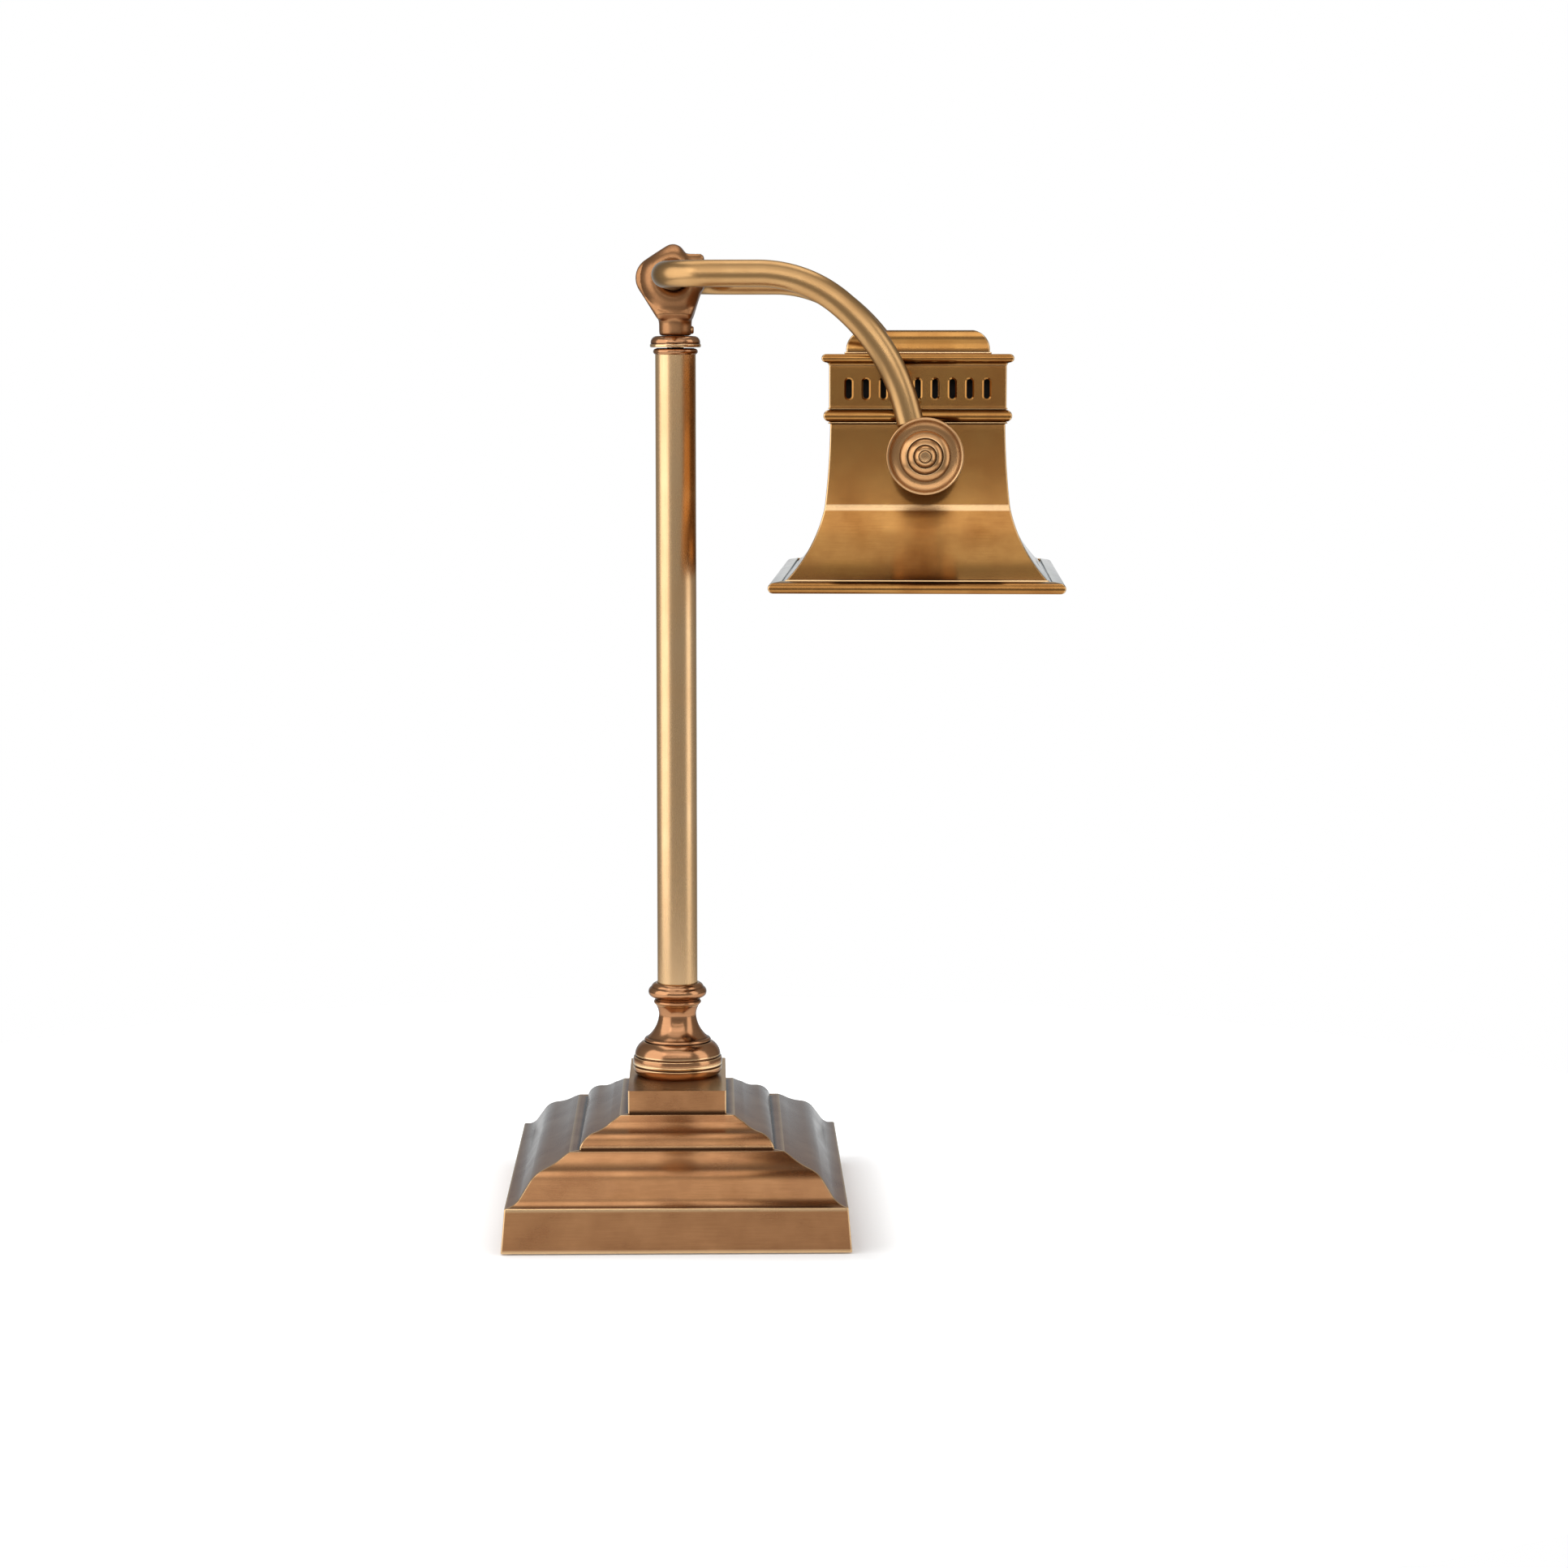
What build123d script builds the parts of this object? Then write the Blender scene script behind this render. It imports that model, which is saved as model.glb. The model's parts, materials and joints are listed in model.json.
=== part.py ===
from build123d import *
import math
import os

os.makedirs("parts", exist_ok=True)

# Desk lamp with a stepped base, a slim post and a rectangular shade carried in a tilting yoke.
# Millimetres. The origin is on the floor under the post, +Z up, the shade towards +X.

# Clearances
fit = 0.05
running = 0.05
rod_clearance = 0.2
swivel_gap = 0.3
end_gap = 0.2

# Felt pad and cover plate under the base
felt_thickness = 2.0
felt_proud = 0.6
felt_margin = 1.5
plate_thickness = 1.2
plate_clearance = 0.2
plinth_lip = 3.0

# Base casting: block, upper moulding, terrace, lower moulding and plinth, from the top outwards
block_width = 46.0
block_depth = 84.0
block_rise = 10.7
block_roof = 6.0
block_shelf = 3.8
upper_bead_run = 4.1
upper_bead_rise = 2.0
upper_cove_run = 8.4
upper_cove_rise = 3.8
upper_ovolo_run = 5.7
upper_ovolo_rise = 5.7
terrace_run = 4.4
terrace_rise = 1.0
lower_bead_run = 3.7
lower_bead_rise = 1.4
lower_cove_run = 12.0
lower_cove_rise = 5.0
lower_ovolo_run = 10.7
lower_ovolo_rise = 13.6
ledge_run = 2.5
ledge_rise = 0.8
plinth_draft = 1.7
plinth_rise = 19.9
bead_bow = 0.47
cove_bow = 1.0
ovolo_bow = 0.75
base_wall = 5.0

# Weight, rod and cord inlet inside the base
weight_thickness = 14.0
weight_clearance = 1.0
rod_radius = 5.0
rod_bore = 3.25
rod_tail = 2.0
washer_radius = 12.0
washer_thickness = 1.5
rod_nut_flats = 17.0
rod_nut_height = 6.0
inlet_height = 10.0
bushing_radius = 4.5
bushing_bore = 3.2
bushing_flange = 6.0
bushing_flange_thickness = 1.2
inlet_spot_depth = 1.0

# Turned foot of the post
drum_radius = 21.6
drum_foot_radius = 19.6
drum_height = 6.7
drum_roll = 2.1
drum_groove = 0.4
vase_height = 27.7
vase_shoulder_radius = 16.0
vase_shoulder_rise = 9.4
vase_step = 0.8
vase_waist_radius = 8.9
vase_waist_rise = 22.7
vase_top_radius = 10.6
cup_height = 10.3
cup_ring_height = 2.0
cup_radius = 12.5
cup_bead_rise = 3.5
cup_bead_height = 4.8
cup_lip = 0.8
socket_depth = 5.2
turned_bow = 1.4

# Post tube, the plug that holds it on the rod and the cap that carries the head
tube_radius = 9.525
tube_wall = 1.2
tube_length = 302.9
plug_length = 22.0
rod_engagement = 18.0
cap_radius = 10.5
cap_height = 3.1
cap_plug_length = 8.0

# Swivel stud, collar and split knuckle
stud_radius = 4.0
stud_bore = 2.5
stud_socket = 12.4
stud_tail = 1.0
swivel_nut_flats = 12.0
swivel_nut_height = 5.0
collar_radius = 12.0
collar_height = 5.3
neck_radius = 7.7
neck_height = 7.9
eye_rise = 26.9
heel_radius = 10.0
heel_shift = 8.5
peak_radius = 5.2
peak_shift = 0.8
peak_rise = 10.6
cheek_radius = 8.0
cheek_shift = 4.6
cheek_drop = 3.5
knuckle_depth = 22.0
knuckle_round = 4.6
slit = 1.2
ear_reach = 13.6
ear_depth = 13.0
ear_rise = 11.2
ear_drop = 6.0
ear_round = 1.5
screw_offset = 9.6
screw_radius = 1.5
screw_depth = 14.8
screw_head_radius = 2.6
screw_head_height = 2.2
screw_slot = 0.8

# Yoke tube: cross run through the knuckle and two drooping arms
head_turn = 3.5
yoke_radius = 6.0
yoke_wall = 1.2
arm_reach = 117.5
arm_drop = 80.5
corner_bend = 24.0
first_bend = 57.0
first_angle = 40.0
between_bends = 2.0
second_bend = 88.0
second_angle = 34.0

# Pivot at the end of each arm
boss_radius = 16.5
boss_thickness = 13.0
boss_round = 1.5
hub_radius = 10.0
hub_length = 4.4
pivot_radius = 4.0
friction_radius = 9.5
friction_thickness = 1.5
pivot_nut_flats = 13.0
pivot_nut_height = 5.0
pivot_tail = 1.5

# Turned knob, from its disc outwards to its button
knob_radius = 16.4
knob_disc = 3.2
knob_rim = 1.2
knob_rim_rise = 0.8
knob_dish = 0.6
knob_step_one = 10.75
knob_step_two = 7.5
knob_step_three = 4.65
knob_step_rise = 2.6
knob_edge = 0.7
button_radius = 2.75
button_rise = 1.6
button_dimple = 0.5
knob_thread = 7.0

# Shade: half widths across the short side; the long side is wider by shade_extra at each end
shade_wall = 1.2
shade_extra = 40.0
shade_back = 3.5
bell_half = 39.2
bell_wall_drop = 24.0
flare_run = 5.9
flare_drop = 24.0
flare_bow = 0.75
cone_run = 12.7
cone_drop = 21.0
flange_run = 6.2
flange_drop = 1.0
rim_height = 4.2
rim_bow = 2.1
pivot_below_bell_top = 14.0
gallery_half = 39.7
gallery_height = 19.0
waist_bead_height = 7.0
waist_bead_bow = 2.6
slot_width = 3.2
slot_height = 9.0
slot_pitch = 7.7
slot_margin = 4.0
slot_rise = 15.5
cornice_run = 3.3
cornice_ogee = 2.6
cornice_face = 2.4
cornice_bow = 0.3
plate_roof = 2.0
dome_half = 32.2
dome_flat = 25.0
dome_rise = 10.7
dome_bow = 2.4

# Lampholder, bulb and turn key inside the shade
nipple_radius = 5.0
nipple_bore = 3.2
nipple_above_nut = 2.5
nipple_in_cap = 7.0
nipple_nut_flats = 16.0
nipple_nut_height = 3.5
holder_cap_radius = 14.5
holder_cap_height = 13.0
holder_cap_bow = 2.5
holder_cap_skirt = 2.0
shell_radius = 13.0
shell_length = 42.0
bulb_cap_radius = 6.8
bulb_cap_length = 24.0
bulb_cap_showing = 3.0
bulb_neck_radius = 7.5
globe_radius = 22.5
globe_neck = 21.0
glass_wall = 1.0
key_radius = 2.0
key_engagement = 5.0
key_stem = 9.0
key_paddle_length = 8.0
key_paddle_width = 10.0
key_paddle_thickness = 3.0
key_below_cap = 10.0

# Heights of the stand, from the floor up
casting_bottom = felt_proud
plate_top = felt_thickness + plate_thickness
plinth_top = casting_bottom + plinth_rise
ledge_top = plinth_top + ledge_rise
lower_ovolo_top = ledge_top + lower_ovolo_rise
lower_cove_top = lower_ovolo_top + lower_cove_rise
terrace_z = lower_cove_top + lower_bead_rise
upper_foot = terrace_z + terrace_rise
upper_ovolo_top = upper_foot + upper_ovolo_rise
upper_cove_top = upper_ovolo_top + upper_cove_rise
shelf_z = upper_cove_top + upper_bead_rise
base_top = shelf_z + block_rise
drum_top = base_top + drum_height
vase_top = drum_top + vase_height
cup_top = vase_top + cup_height
tube_bottom = cup_top - socket_depth
tube_top = tube_bottom + tube_length
tube_bore = tube_radius - tube_wall
cap_top = tube_top + cap_height
collar_bottom = cap_top + swivel_gap
collar_top = collar_bottom + collar_height
neck_top = collar_top + neck_height
eye_z = collar_top + eye_rise

# Distances from the block's face out to each edge of the base
upper_out = block_shelf + upper_bead_run + upper_cove_run + upper_ovolo_run
terrace_out = upper_out + terrace_run
ovolo_out = terrace_out + lower_bead_run + lower_cove_run
ledge_out = ovolo_out + lower_ovolo_run
plinth_out = ledge_out + ledge_run
foot_out = plinth_out + plinth_draft

# Heights of the shade, hung from the pivot
pivot_z = eye_z - arm_drop
bell_top = pivot_z + pivot_below_bell_top
flare_top = bell_top - bell_wall_drop
flare_foot = flare_top - flare_drop
cone_foot = flare_foot - cone_drop
flange_z = cone_foot - flange_drop
rim_bottom = flange_z - rim_height
bead_top = bell_top + waist_bead_height
gallery_top = bead_top + gallery_height
cornice_top = gallery_top + cornice_ogee + cornice_face
dome_top = cornice_top + dome_rise
bell_bore = bell_half - shade_wall
plate_underside = cornice_top - plate_roof
holder_cap_bottom = plate_underside - holder_cap_height
shell_top = holder_cap_bottom + holder_cap_skirt
shell_bottom = shell_top - shell_length
bulb_neck_z = shell_bottom - bulb_cap_showing
globe_z = bulb_neck_z - globe_neck

# Distances from the middle of the shade out along the pivot axis
shade_face = bell_half + shade_extra
hub_face = shade_face + friction_thickness + end_gap
boss_inner = hub_face + hub_length
boss_outer = boss_inner + boss_thickness
arm_half_span = boss_inner + boss_thickness / 2
knob_back = boss_outer + swivel_gap

# The head is turned a little towards the viewer: its own upright planes
head = Plane.XY.rotated((0, 0, -head_turn))
head_xz = Plane(origin=(0, 0, 0), x_dir=head.x_dir, z_dir=-head.y_dir)
head_yz = Plane(origin=(0, 0, 0), x_dir=head.y_dir, z_dir=head.x_dir)
shade_foot = head.from_local_coords((arm_reach - shade_back, 0, 0))
shade_xy = Plane(origin=shade_foot, x_dir=head.x_dir, z_dir=(0, 0, 1))
shade_xz = Plane(origin=shade_foot, x_dir=head.x_dir, z_dir=-head.y_dir)
shade_yz = Plane(origin=shade_foot, x_dir=head.y_dir, z_dir=head.x_dir)
shade_axis = Axis(shade_foot, (0, 0, 1))
pivot = head.from_local_coords((arm_reach, 0, pivot_z))


def keep(piece, name):
    """Label a finished piece and write it out."""
    piece.part.label = name
    export_step(piece.part, f"parts/{name}.step")


def hexagon(flats):
    """Hexagon of the given width across its flats."""
    RegularPolygon(radius=flats / 2, side_count=6, major_radius=False)


def base_section(block_half):
    """Face of the casting across one direction, from the plinth up to the block."""
    with BuildLine() as outline:
        plinth = Polyline(
            (0, casting_bottom),
            (block_half + foot_out, casting_bottom),
            (block_half + plinth_out, plinth_top),
            (block_half + ledge_out, ledge_top),
        )
        lower_ovolo = SagittaArc(plinth @ 1, (block_half + ovolo_out, lower_ovolo_top), -ovolo_bow)
        cove_half = block_half + ovolo_out - lower_cove_run
        lower_cove = SagittaArc(lower_ovolo @ 1, (cove_half, lower_cove_top), cove_bow)
        lower_bead = SagittaArc(lower_cove @ 1, (block_half + terrace_out, terrace_z), -bead_bow)
        terrace = Polyline(
            lower_bead @ 1,
            (block_half + upper_out, terrace_z),
            (block_half + upper_out, upper_foot),
        )
        ovolo_half = block_half + upper_out - upper_ovolo_run
        upper_ovolo = SagittaArc(terrace @ 1, (ovolo_half, upper_ovolo_top), -ovolo_bow)
        bead_half = block_half + block_shelf + upper_bead_run
        upper_cove = SagittaArc(upper_ovolo @ 1, (bead_half, upper_cove_top), cove_bow)
        upper_bead = SagittaArc(upper_cove @ 1, (block_half + block_shelf, shelf_z), -bead_bow)
        Polyline(upper_bead @ 1, (block_half, shelf_z), (block_half, base_top), (0, base_top))
        mirror(about=Plane.YZ)
    make_face(outline.edges())


# Base casting: the same section runs along both directions and mitres at the corners
inlet_y = block_depth / 2 + plinth_out - inlet_spot_depth
inlet = Plane(origin=(0, inlet_y, inlet_height), x_dir=(1, 0, 0), z_dir=(0, 1, 0))
lip_out = foot_out - plinth_lip
weight_top = lower_ovolo_top - base_wall
weight_out = ovolo_out - base_wall
pockets = (
    (lip_out, plate_top),
    (plinth_out - base_wall, plinth_top - base_wall / 2),
    (weight_out, weight_top),
    (upper_out - base_wall, upper_foot),
    (-base_wall, base_top - block_roof),
)
with BuildPart() as base_casting:
    with BuildSketch(Plane.XZ):
        base_section(block_width / 2)
    extrude(amount=block_depth / 2 + foot_out, both=True)
    with BuildSketch(Plane.YZ):
        base_section(block_depth / 2)
    extrude(amount=block_width / 2 + foot_out, both=True, mode=Mode.INTERSECT)
    for out, ceiling in pockets:
        with BuildSketch(Plane.XY.offset(casting_bottom)):
            Rectangle(block_width + 2 * out, block_depth + 2 * out)
        extrude(amount=ceiling - casting_bottom, mode=Mode.SUBTRACT)
    with BuildSketch(Plane.XY.offset(base_top)):
        Circle(rod_radius + rod_clearance)
    extrude(amount=-2 * block_roof, mode=Mode.SUBTRACT)
    with BuildSketch(inlet):
        Circle(bushing_flange + fit)
    extrude(amount=inlet_spot_depth + plinth_draft, mode=Mode.SUBTRACT)
    with BuildSketch(inlet):
        Circle(bushing_radius + fit)
    extrude(amount=-2 * base_wall, mode=Mode.SUBTRACT)
keep(base_casting, "base_casting")

with BuildPart() as base_weight:
    with BuildSketch(Plane.XY.offset(weight_top)):
        weight_side = weight_out - weight_clearance
        Rectangle(block_width + 2 * weight_side, block_depth + 2 * weight_side)
        Circle(rod_radius + rod_clearance, mode=Mode.SUBTRACT)
    extrude(amount=-weight_thickness)
keep(base_weight, "base_weight")

with BuildPart() as base_plate:
    with BuildSketch(Plane.XY.offset(felt_thickness)):
        plate_out = lip_out - plate_clearance
        Rectangle(block_width + 2 * plate_out, block_depth + 2 * plate_out)
    extrude(amount=plate_thickness)
keep(base_plate, "base_plate")

with BuildPart() as base_felt:
    with BuildSketch(Plane.XY):
        felt_out = lip_out - felt_margin
        Rectangle(block_width + 2 * felt_out, block_depth + 2 * felt_out)
    extrude(amount=felt_thickness)
keep(base_felt, "base_felt")

with BuildPart() as cord_bushing:
    with BuildSketch(inlet):
        Circle(bushing_flange)
    extrude(amount=bushing_flange_thickness)
    with BuildSketch(inlet):
        Circle(bushing_radius)
    extrude(amount=-base_wall)
    with BuildSketch(inlet.offset(bushing_flange_thickness)):
        Circle(bushing_bore)
    extrude(amount=-2 * base_wall, mode=Mode.SUBTRACT)
keep(cord_bushing, "cord_bushing")

# Rod, washer and nut that clamp the foot and the weight to the casting
washer_top = weight_top - weight_thickness
nut_top = washer_top - washer_thickness
rod_bottom = nut_top - rod_nut_height - rod_tail
with BuildPart() as rod_washer:
    with BuildSketch(Plane.XY.offset(washer_top)):
        Circle(washer_radius)
        Circle(rod_radius + rod_clearance, mode=Mode.SUBTRACT)
    extrude(amount=-washer_thickness)
keep(rod_washer, "rod_washer")

with BuildPart() as rod_nut:
    with BuildSketch(Plane.XY.offset(nut_top)):
        hexagon(rod_nut_flats)
        Circle(rod_radius + fit, mode=Mode.SUBTRACT)
    extrude(amount=-rod_nut_height)
keep(rod_nut, "rod_nut")

with BuildPart() as post_rod:
    with BuildSketch(Plane.XY.offset(rod_bottom)):
        Circle(rod_radius)
        Circle(rod_bore, mode=Mode.SUBTRACT)
    extrude(amount=tube_bottom + rod_engagement - rod_bottom)
keep(post_rod, "post_rod")

# Turned foot: drum, vase and cup
foot_bore = rod_radius + rod_clearance
groove_z = base_top + drum_roll
with BuildPart() as foot_drum:
    with BuildSketch(Plane.XZ):
        with BuildLine():
            sole = Line((foot_bore, base_top), (drum_foot_radius, base_top))
            roll_top = (drum_radius, groove_z - drum_groove)
            roll = SagittaArc(sole @ 1, roll_top, -drum_groove)
            Polyline(
                roll @ 1,
                (drum_radius - drum_groove, groove_z),
                (drum_radius, groove_z + drum_groove),
                (drum_radius, drum_top - drum_groove),
                (drum_radius - drum_groove, drum_top),
                (foot_bore, drum_top),
                sole @ 0,
            )
        make_face()
    revolve(axis=Axis.Z)
keep(foot_drum, "foot_drum")

shoulder_z = drum_top + vase_shoulder_rise
waist_z = drum_top + vase_waist_rise
with BuildPart() as foot_vase:
    with BuildSketch(Plane.XZ):
        with BuildLine():
            sole = Line((foot_bore, drum_top), (drum_radius - drum_groove, drum_top))
            shoulder = SagittaArc(sole @ 1, (vase_shoulder_radius, shoulder_z), -turned_bow)
            step = Line(shoulder @ 1, (vase_shoulder_radius - vase_step, shoulder_z + vase_step))
            body = SagittaArc(step @ 1, (vase_waist_radius, waist_z), turned_bow)
            lip = SagittaArc(body @ 1, (vase_top_radius, vase_top), turned_bow / 4)
            Polyline(lip @ 1, (foot_bore, vase_top), sole @ 0)
        make_face()
    revolve(axis=Axis.Z)
keep(foot_vase, "foot_vase")

cup_bead_z = vase_top + cup_bead_rise
cup_shoulder_z = cup_bead_z + cup_bead_height
socket_radius = tube_radius + fit
with BuildPart() as cup_collar:
    with BuildSketch(Plane.XZ):
        with BuildLine():
            sole = Line((foot_bore, vase_top), (vase_top_radius, vase_top))
            ring = SagittaArc(sole @ 1, (vase_top_radius, vase_top + cup_ring_height), -turned_bow / 2)
            under = SagittaArc(ring @ 1, (cup_radius, cup_bead_z), turned_bow / 4)
            bead = SagittaArc(under @ 1, (cup_radius, cup_shoulder_z), -turned_bow)
            top = SagittaArc(bead @ 1, (socket_radius + cup_lip, cup_top), -turned_bow / 4)
            Polyline(
                top @ 1,
                (socket_radius, cup_top),
                (socket_radius, tube_bottom),
                (foot_bore, tube_bottom),
                sole @ 0,
            )
        make_face()
    revolve(axis=Axis.Z)
keep(cup_collar, "cup_collar")

# Post tube with the plug at its lower end and the cap at its upper end
with BuildPart() as post_tube:
    with BuildSketch(Plane.XY.offset(tube_bottom)):
        Circle(tube_radius)
        Circle(tube_bore, mode=Mode.SUBTRACT)
    extrude(amount=tube_length)
keep(post_tube, "post_tube")

with BuildPart() as tube_plug:
    with BuildSketch(Plane.XY.offset(tube_bottom)):
        Circle(tube_bore - fit)
        Circle(rod_radius + fit, mode=Mode.SUBTRACT)
    extrude(amount=plug_length)
keep(tube_plug, "tube_plug")

cap_plug_bottom = tube_top - cap_plug_length
with BuildPart() as post_cap:
    with BuildSketch(Plane.XY.offset(tube_top)):
        Circle(cap_radius)
    extrude(amount=cap_height)
    fillet(edges().group_by(Axis.Z)[-1], cap_height / 3)
    with BuildSketch(Plane.XY.offset(tube_top)):
        Circle(tube_bore - fit)
    extrude(amount=-cap_plug_length)
    with BuildSketch(Plane.XY.offset(cap_plug_bottom)):
        Circle(stud_radius + running)
    extrude(amount=cap_plug_length + cap_height, mode=Mode.SUBTRACT)
keep(post_cap, "post_cap")

# Collar, stud and nut on which the head swivels
with BuildPart() as knuckle_collar:
    with BuildSketch(Plane.XZ):
        with BuildLine():
            edge = collar_radius - collar_height / 2
            sole = Line((stud_radius + fit, collar_bottom), (edge, collar_bottom))
            dome = SagittaArc(sole @ 1, (edge, collar_top), -collar_height / 2)
            Polyline(dome @ 1, (stud_radius + fit, collar_top), sole @ 0)
        make_face()
    revolve(axis=Axis.Z)
keep(knuckle_collar, "knuckle_collar")

swivel_nut_top = cap_plug_bottom - end_gap
stud_bottom = swivel_nut_top - swivel_nut_height - stud_tail
stud_top = collar_top + stud_socket
with BuildPart() as swivel_nut:
    with BuildSketch(Plane.XY.offset(swivel_nut_top)):
        hexagon(swivel_nut_flats)
        Circle(stud_radius + fit, mode=Mode.SUBTRACT)
    extrude(amount=-swivel_nut_height)
keep(swivel_nut, "swivel_nut")

with BuildPart() as swivel_stud:
    with BuildSketch(Plane.XY.offset(stud_bottom)):
        Circle(stud_radius)
        Circle(stud_bore, mode=Mode.SUBTRACT)
    extrude(amount=stud_top - stud_bottom)
keep(swivel_stud, "swivel_stud")

# Knuckle: a pear drawn as the hull of its heel, peak, cheek and neck, slit and pinched round the yoke tube
screw_spot = head.from_local_coords((screw_offset, 0, eye_z + ear_rise - screw_head_height))
screw_plane = Plane(origin=screw_spot, x_dir=head.x_dir, z_dir=(0, 0, 1))
with BuildPart() as knuckle:
    with BuildSketch(head_xz):
        with Locations((-heel_shift, eye_z)):
            Circle(heel_radius)
        with Locations((-peak_shift, eye_z + peak_rise)):
            Circle(peak_radius)
        with Locations((cheek_shift, eye_z - cheek_drop)):
            Circle(cheek_radius)
        with Locations((0, neck_top)):
            Rectangle(2 * neck_radius, slit)
        make_hull()
    extrude(amount=knuckle_depth / 2, both=True)
    fillet(faces().filter_by(Axis((0, 0, 0), head.y_dir)).edges(), knuckle_round)
    with BuildSketch(head_yz):
        with Locations((0, eye_z)):
            Rectangle(knuckle_depth, 2 * (peak_rise + peak_radius))
        with Locations((0, neck_top)):
            Rectangle(2 * neck_radius, slit)
        make_hull()
    extrude(amount=2 * heel_radius, both=True, mode=Mode.INTERSECT)
    with BuildSketch(Plane.XY.offset(collar_top)):
        Circle(neck_radius)
    extrude(amount=neck_height + slit)
    with BuildSketch(head_xz):
        with Locations((ear_reach / 2, eye_z + (ear_rise - ear_drop) / 2)):
            RectangleRounded(ear_reach, ear_rise + ear_drop, ear_round)
    extrude(amount=ear_depth / 2, both=True)
    with BuildSketch(head_xz):
        with Locations((0, eye_z)):
            Circle(yoke_radius + running)
        with Locations((ear_reach, eye_z)):
            Rectangle(2 * ear_reach, slit)
    extrude(amount=knuckle_depth, both=True, mode=Mode.SUBTRACT)
    with BuildSketch(screw_plane):
        Circle(screw_radius + fit)
    extrude(amount=-screw_depth - fit, mode=Mode.SUBTRACT)
    with BuildSketch(screw_plane):
        Circle(screw_head_radius + fit)
    extrude(amount=2 * screw_head_height, mode=Mode.SUBTRACT)
    with BuildSketch(Plane.XY.offset(collar_top)):
        Circle(stud_radius + fit)
    extrude(amount=stud_socket + fit, mode=Mode.SUBTRACT)
    with BuildSketch(Plane.XY.offset(collar_top)):
        Circle(stud_bore)
    extrude(amount=eye_rise, mode=Mode.SUBTRACT)
keep(knuckle, "knuckle")

with BuildPart() as pinch_screw:
    with BuildSketch(screw_plane):
        Circle(screw_radius)
    extrude(amount=-screw_depth)
    with BuildSketch(screw_plane):
        Circle(screw_head_radius)
    extrude(amount=screw_head_height)
    with BuildSketch(screw_plane.offset(screw_head_height)):
        Rectangle(screw_slot, 2 * screw_head_radius)
    extrude(amount=-screw_slot, mode=Mode.SUBTRACT)
keep(pinch_screw, "pinch_screw")

# Yoke tube: each arm leaves the cross run level, bends down twice and ends on the rim of its boss
end_angle = first_angle + second_angle
first_tangent = first_bend * math.tan(math.radians(first_angle / 2))
second_tangent = second_bend * math.tan(math.radians(second_angle / 2))
slope_length = first_tangent + between_bends + second_tangent
slope_x = slope_length * math.cos(math.radians(first_angle))
slope_z = slope_length * math.sin(math.radians(first_angle))
end_x = (arm_drop - slope_z) / math.tan(math.radians(end_angle))
arm_corners = (
    (arm_reach, pivot_z),
    (arm_reach - end_x, eye_z - slope_z),
    (arm_reach - end_x - slope_x, eye_z),
    (0, eye_z),
)
bends = (second_bend, first_bend, corner_bend)
near_arm = [head.from_local_coords((x, -arm_half_span, z)) for x, z in arm_corners]
far_arm = [head.from_local_coords((x, arm_half_span, z)) for x, z in reversed(arm_corners)]
with BuildPart() as yoke_tube:
    with BuildLine() as yoke_path:
        FilletPolyline(*near_arm, *far_arm, radius=(*bends, *reversed(bends)))
    with BuildSketch(Plane(origin=yoke_path.line @ 0, z_dir=yoke_path.line % 0)):
        Circle(yoke_radius)
        Circle(yoke_radius - yoke_wall, mode=Mode.SUBTRACT)
    sweep()
    with BuildSketch(shade_xz):
        with Locations((shade_back, pivot_z)):
            Circle(boss_radius + fit)
    extrude(amount=2 * arm_half_span, both=True, mode=Mode.SUBTRACT)
keep(yoke_tube, "yoke_tube")

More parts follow.
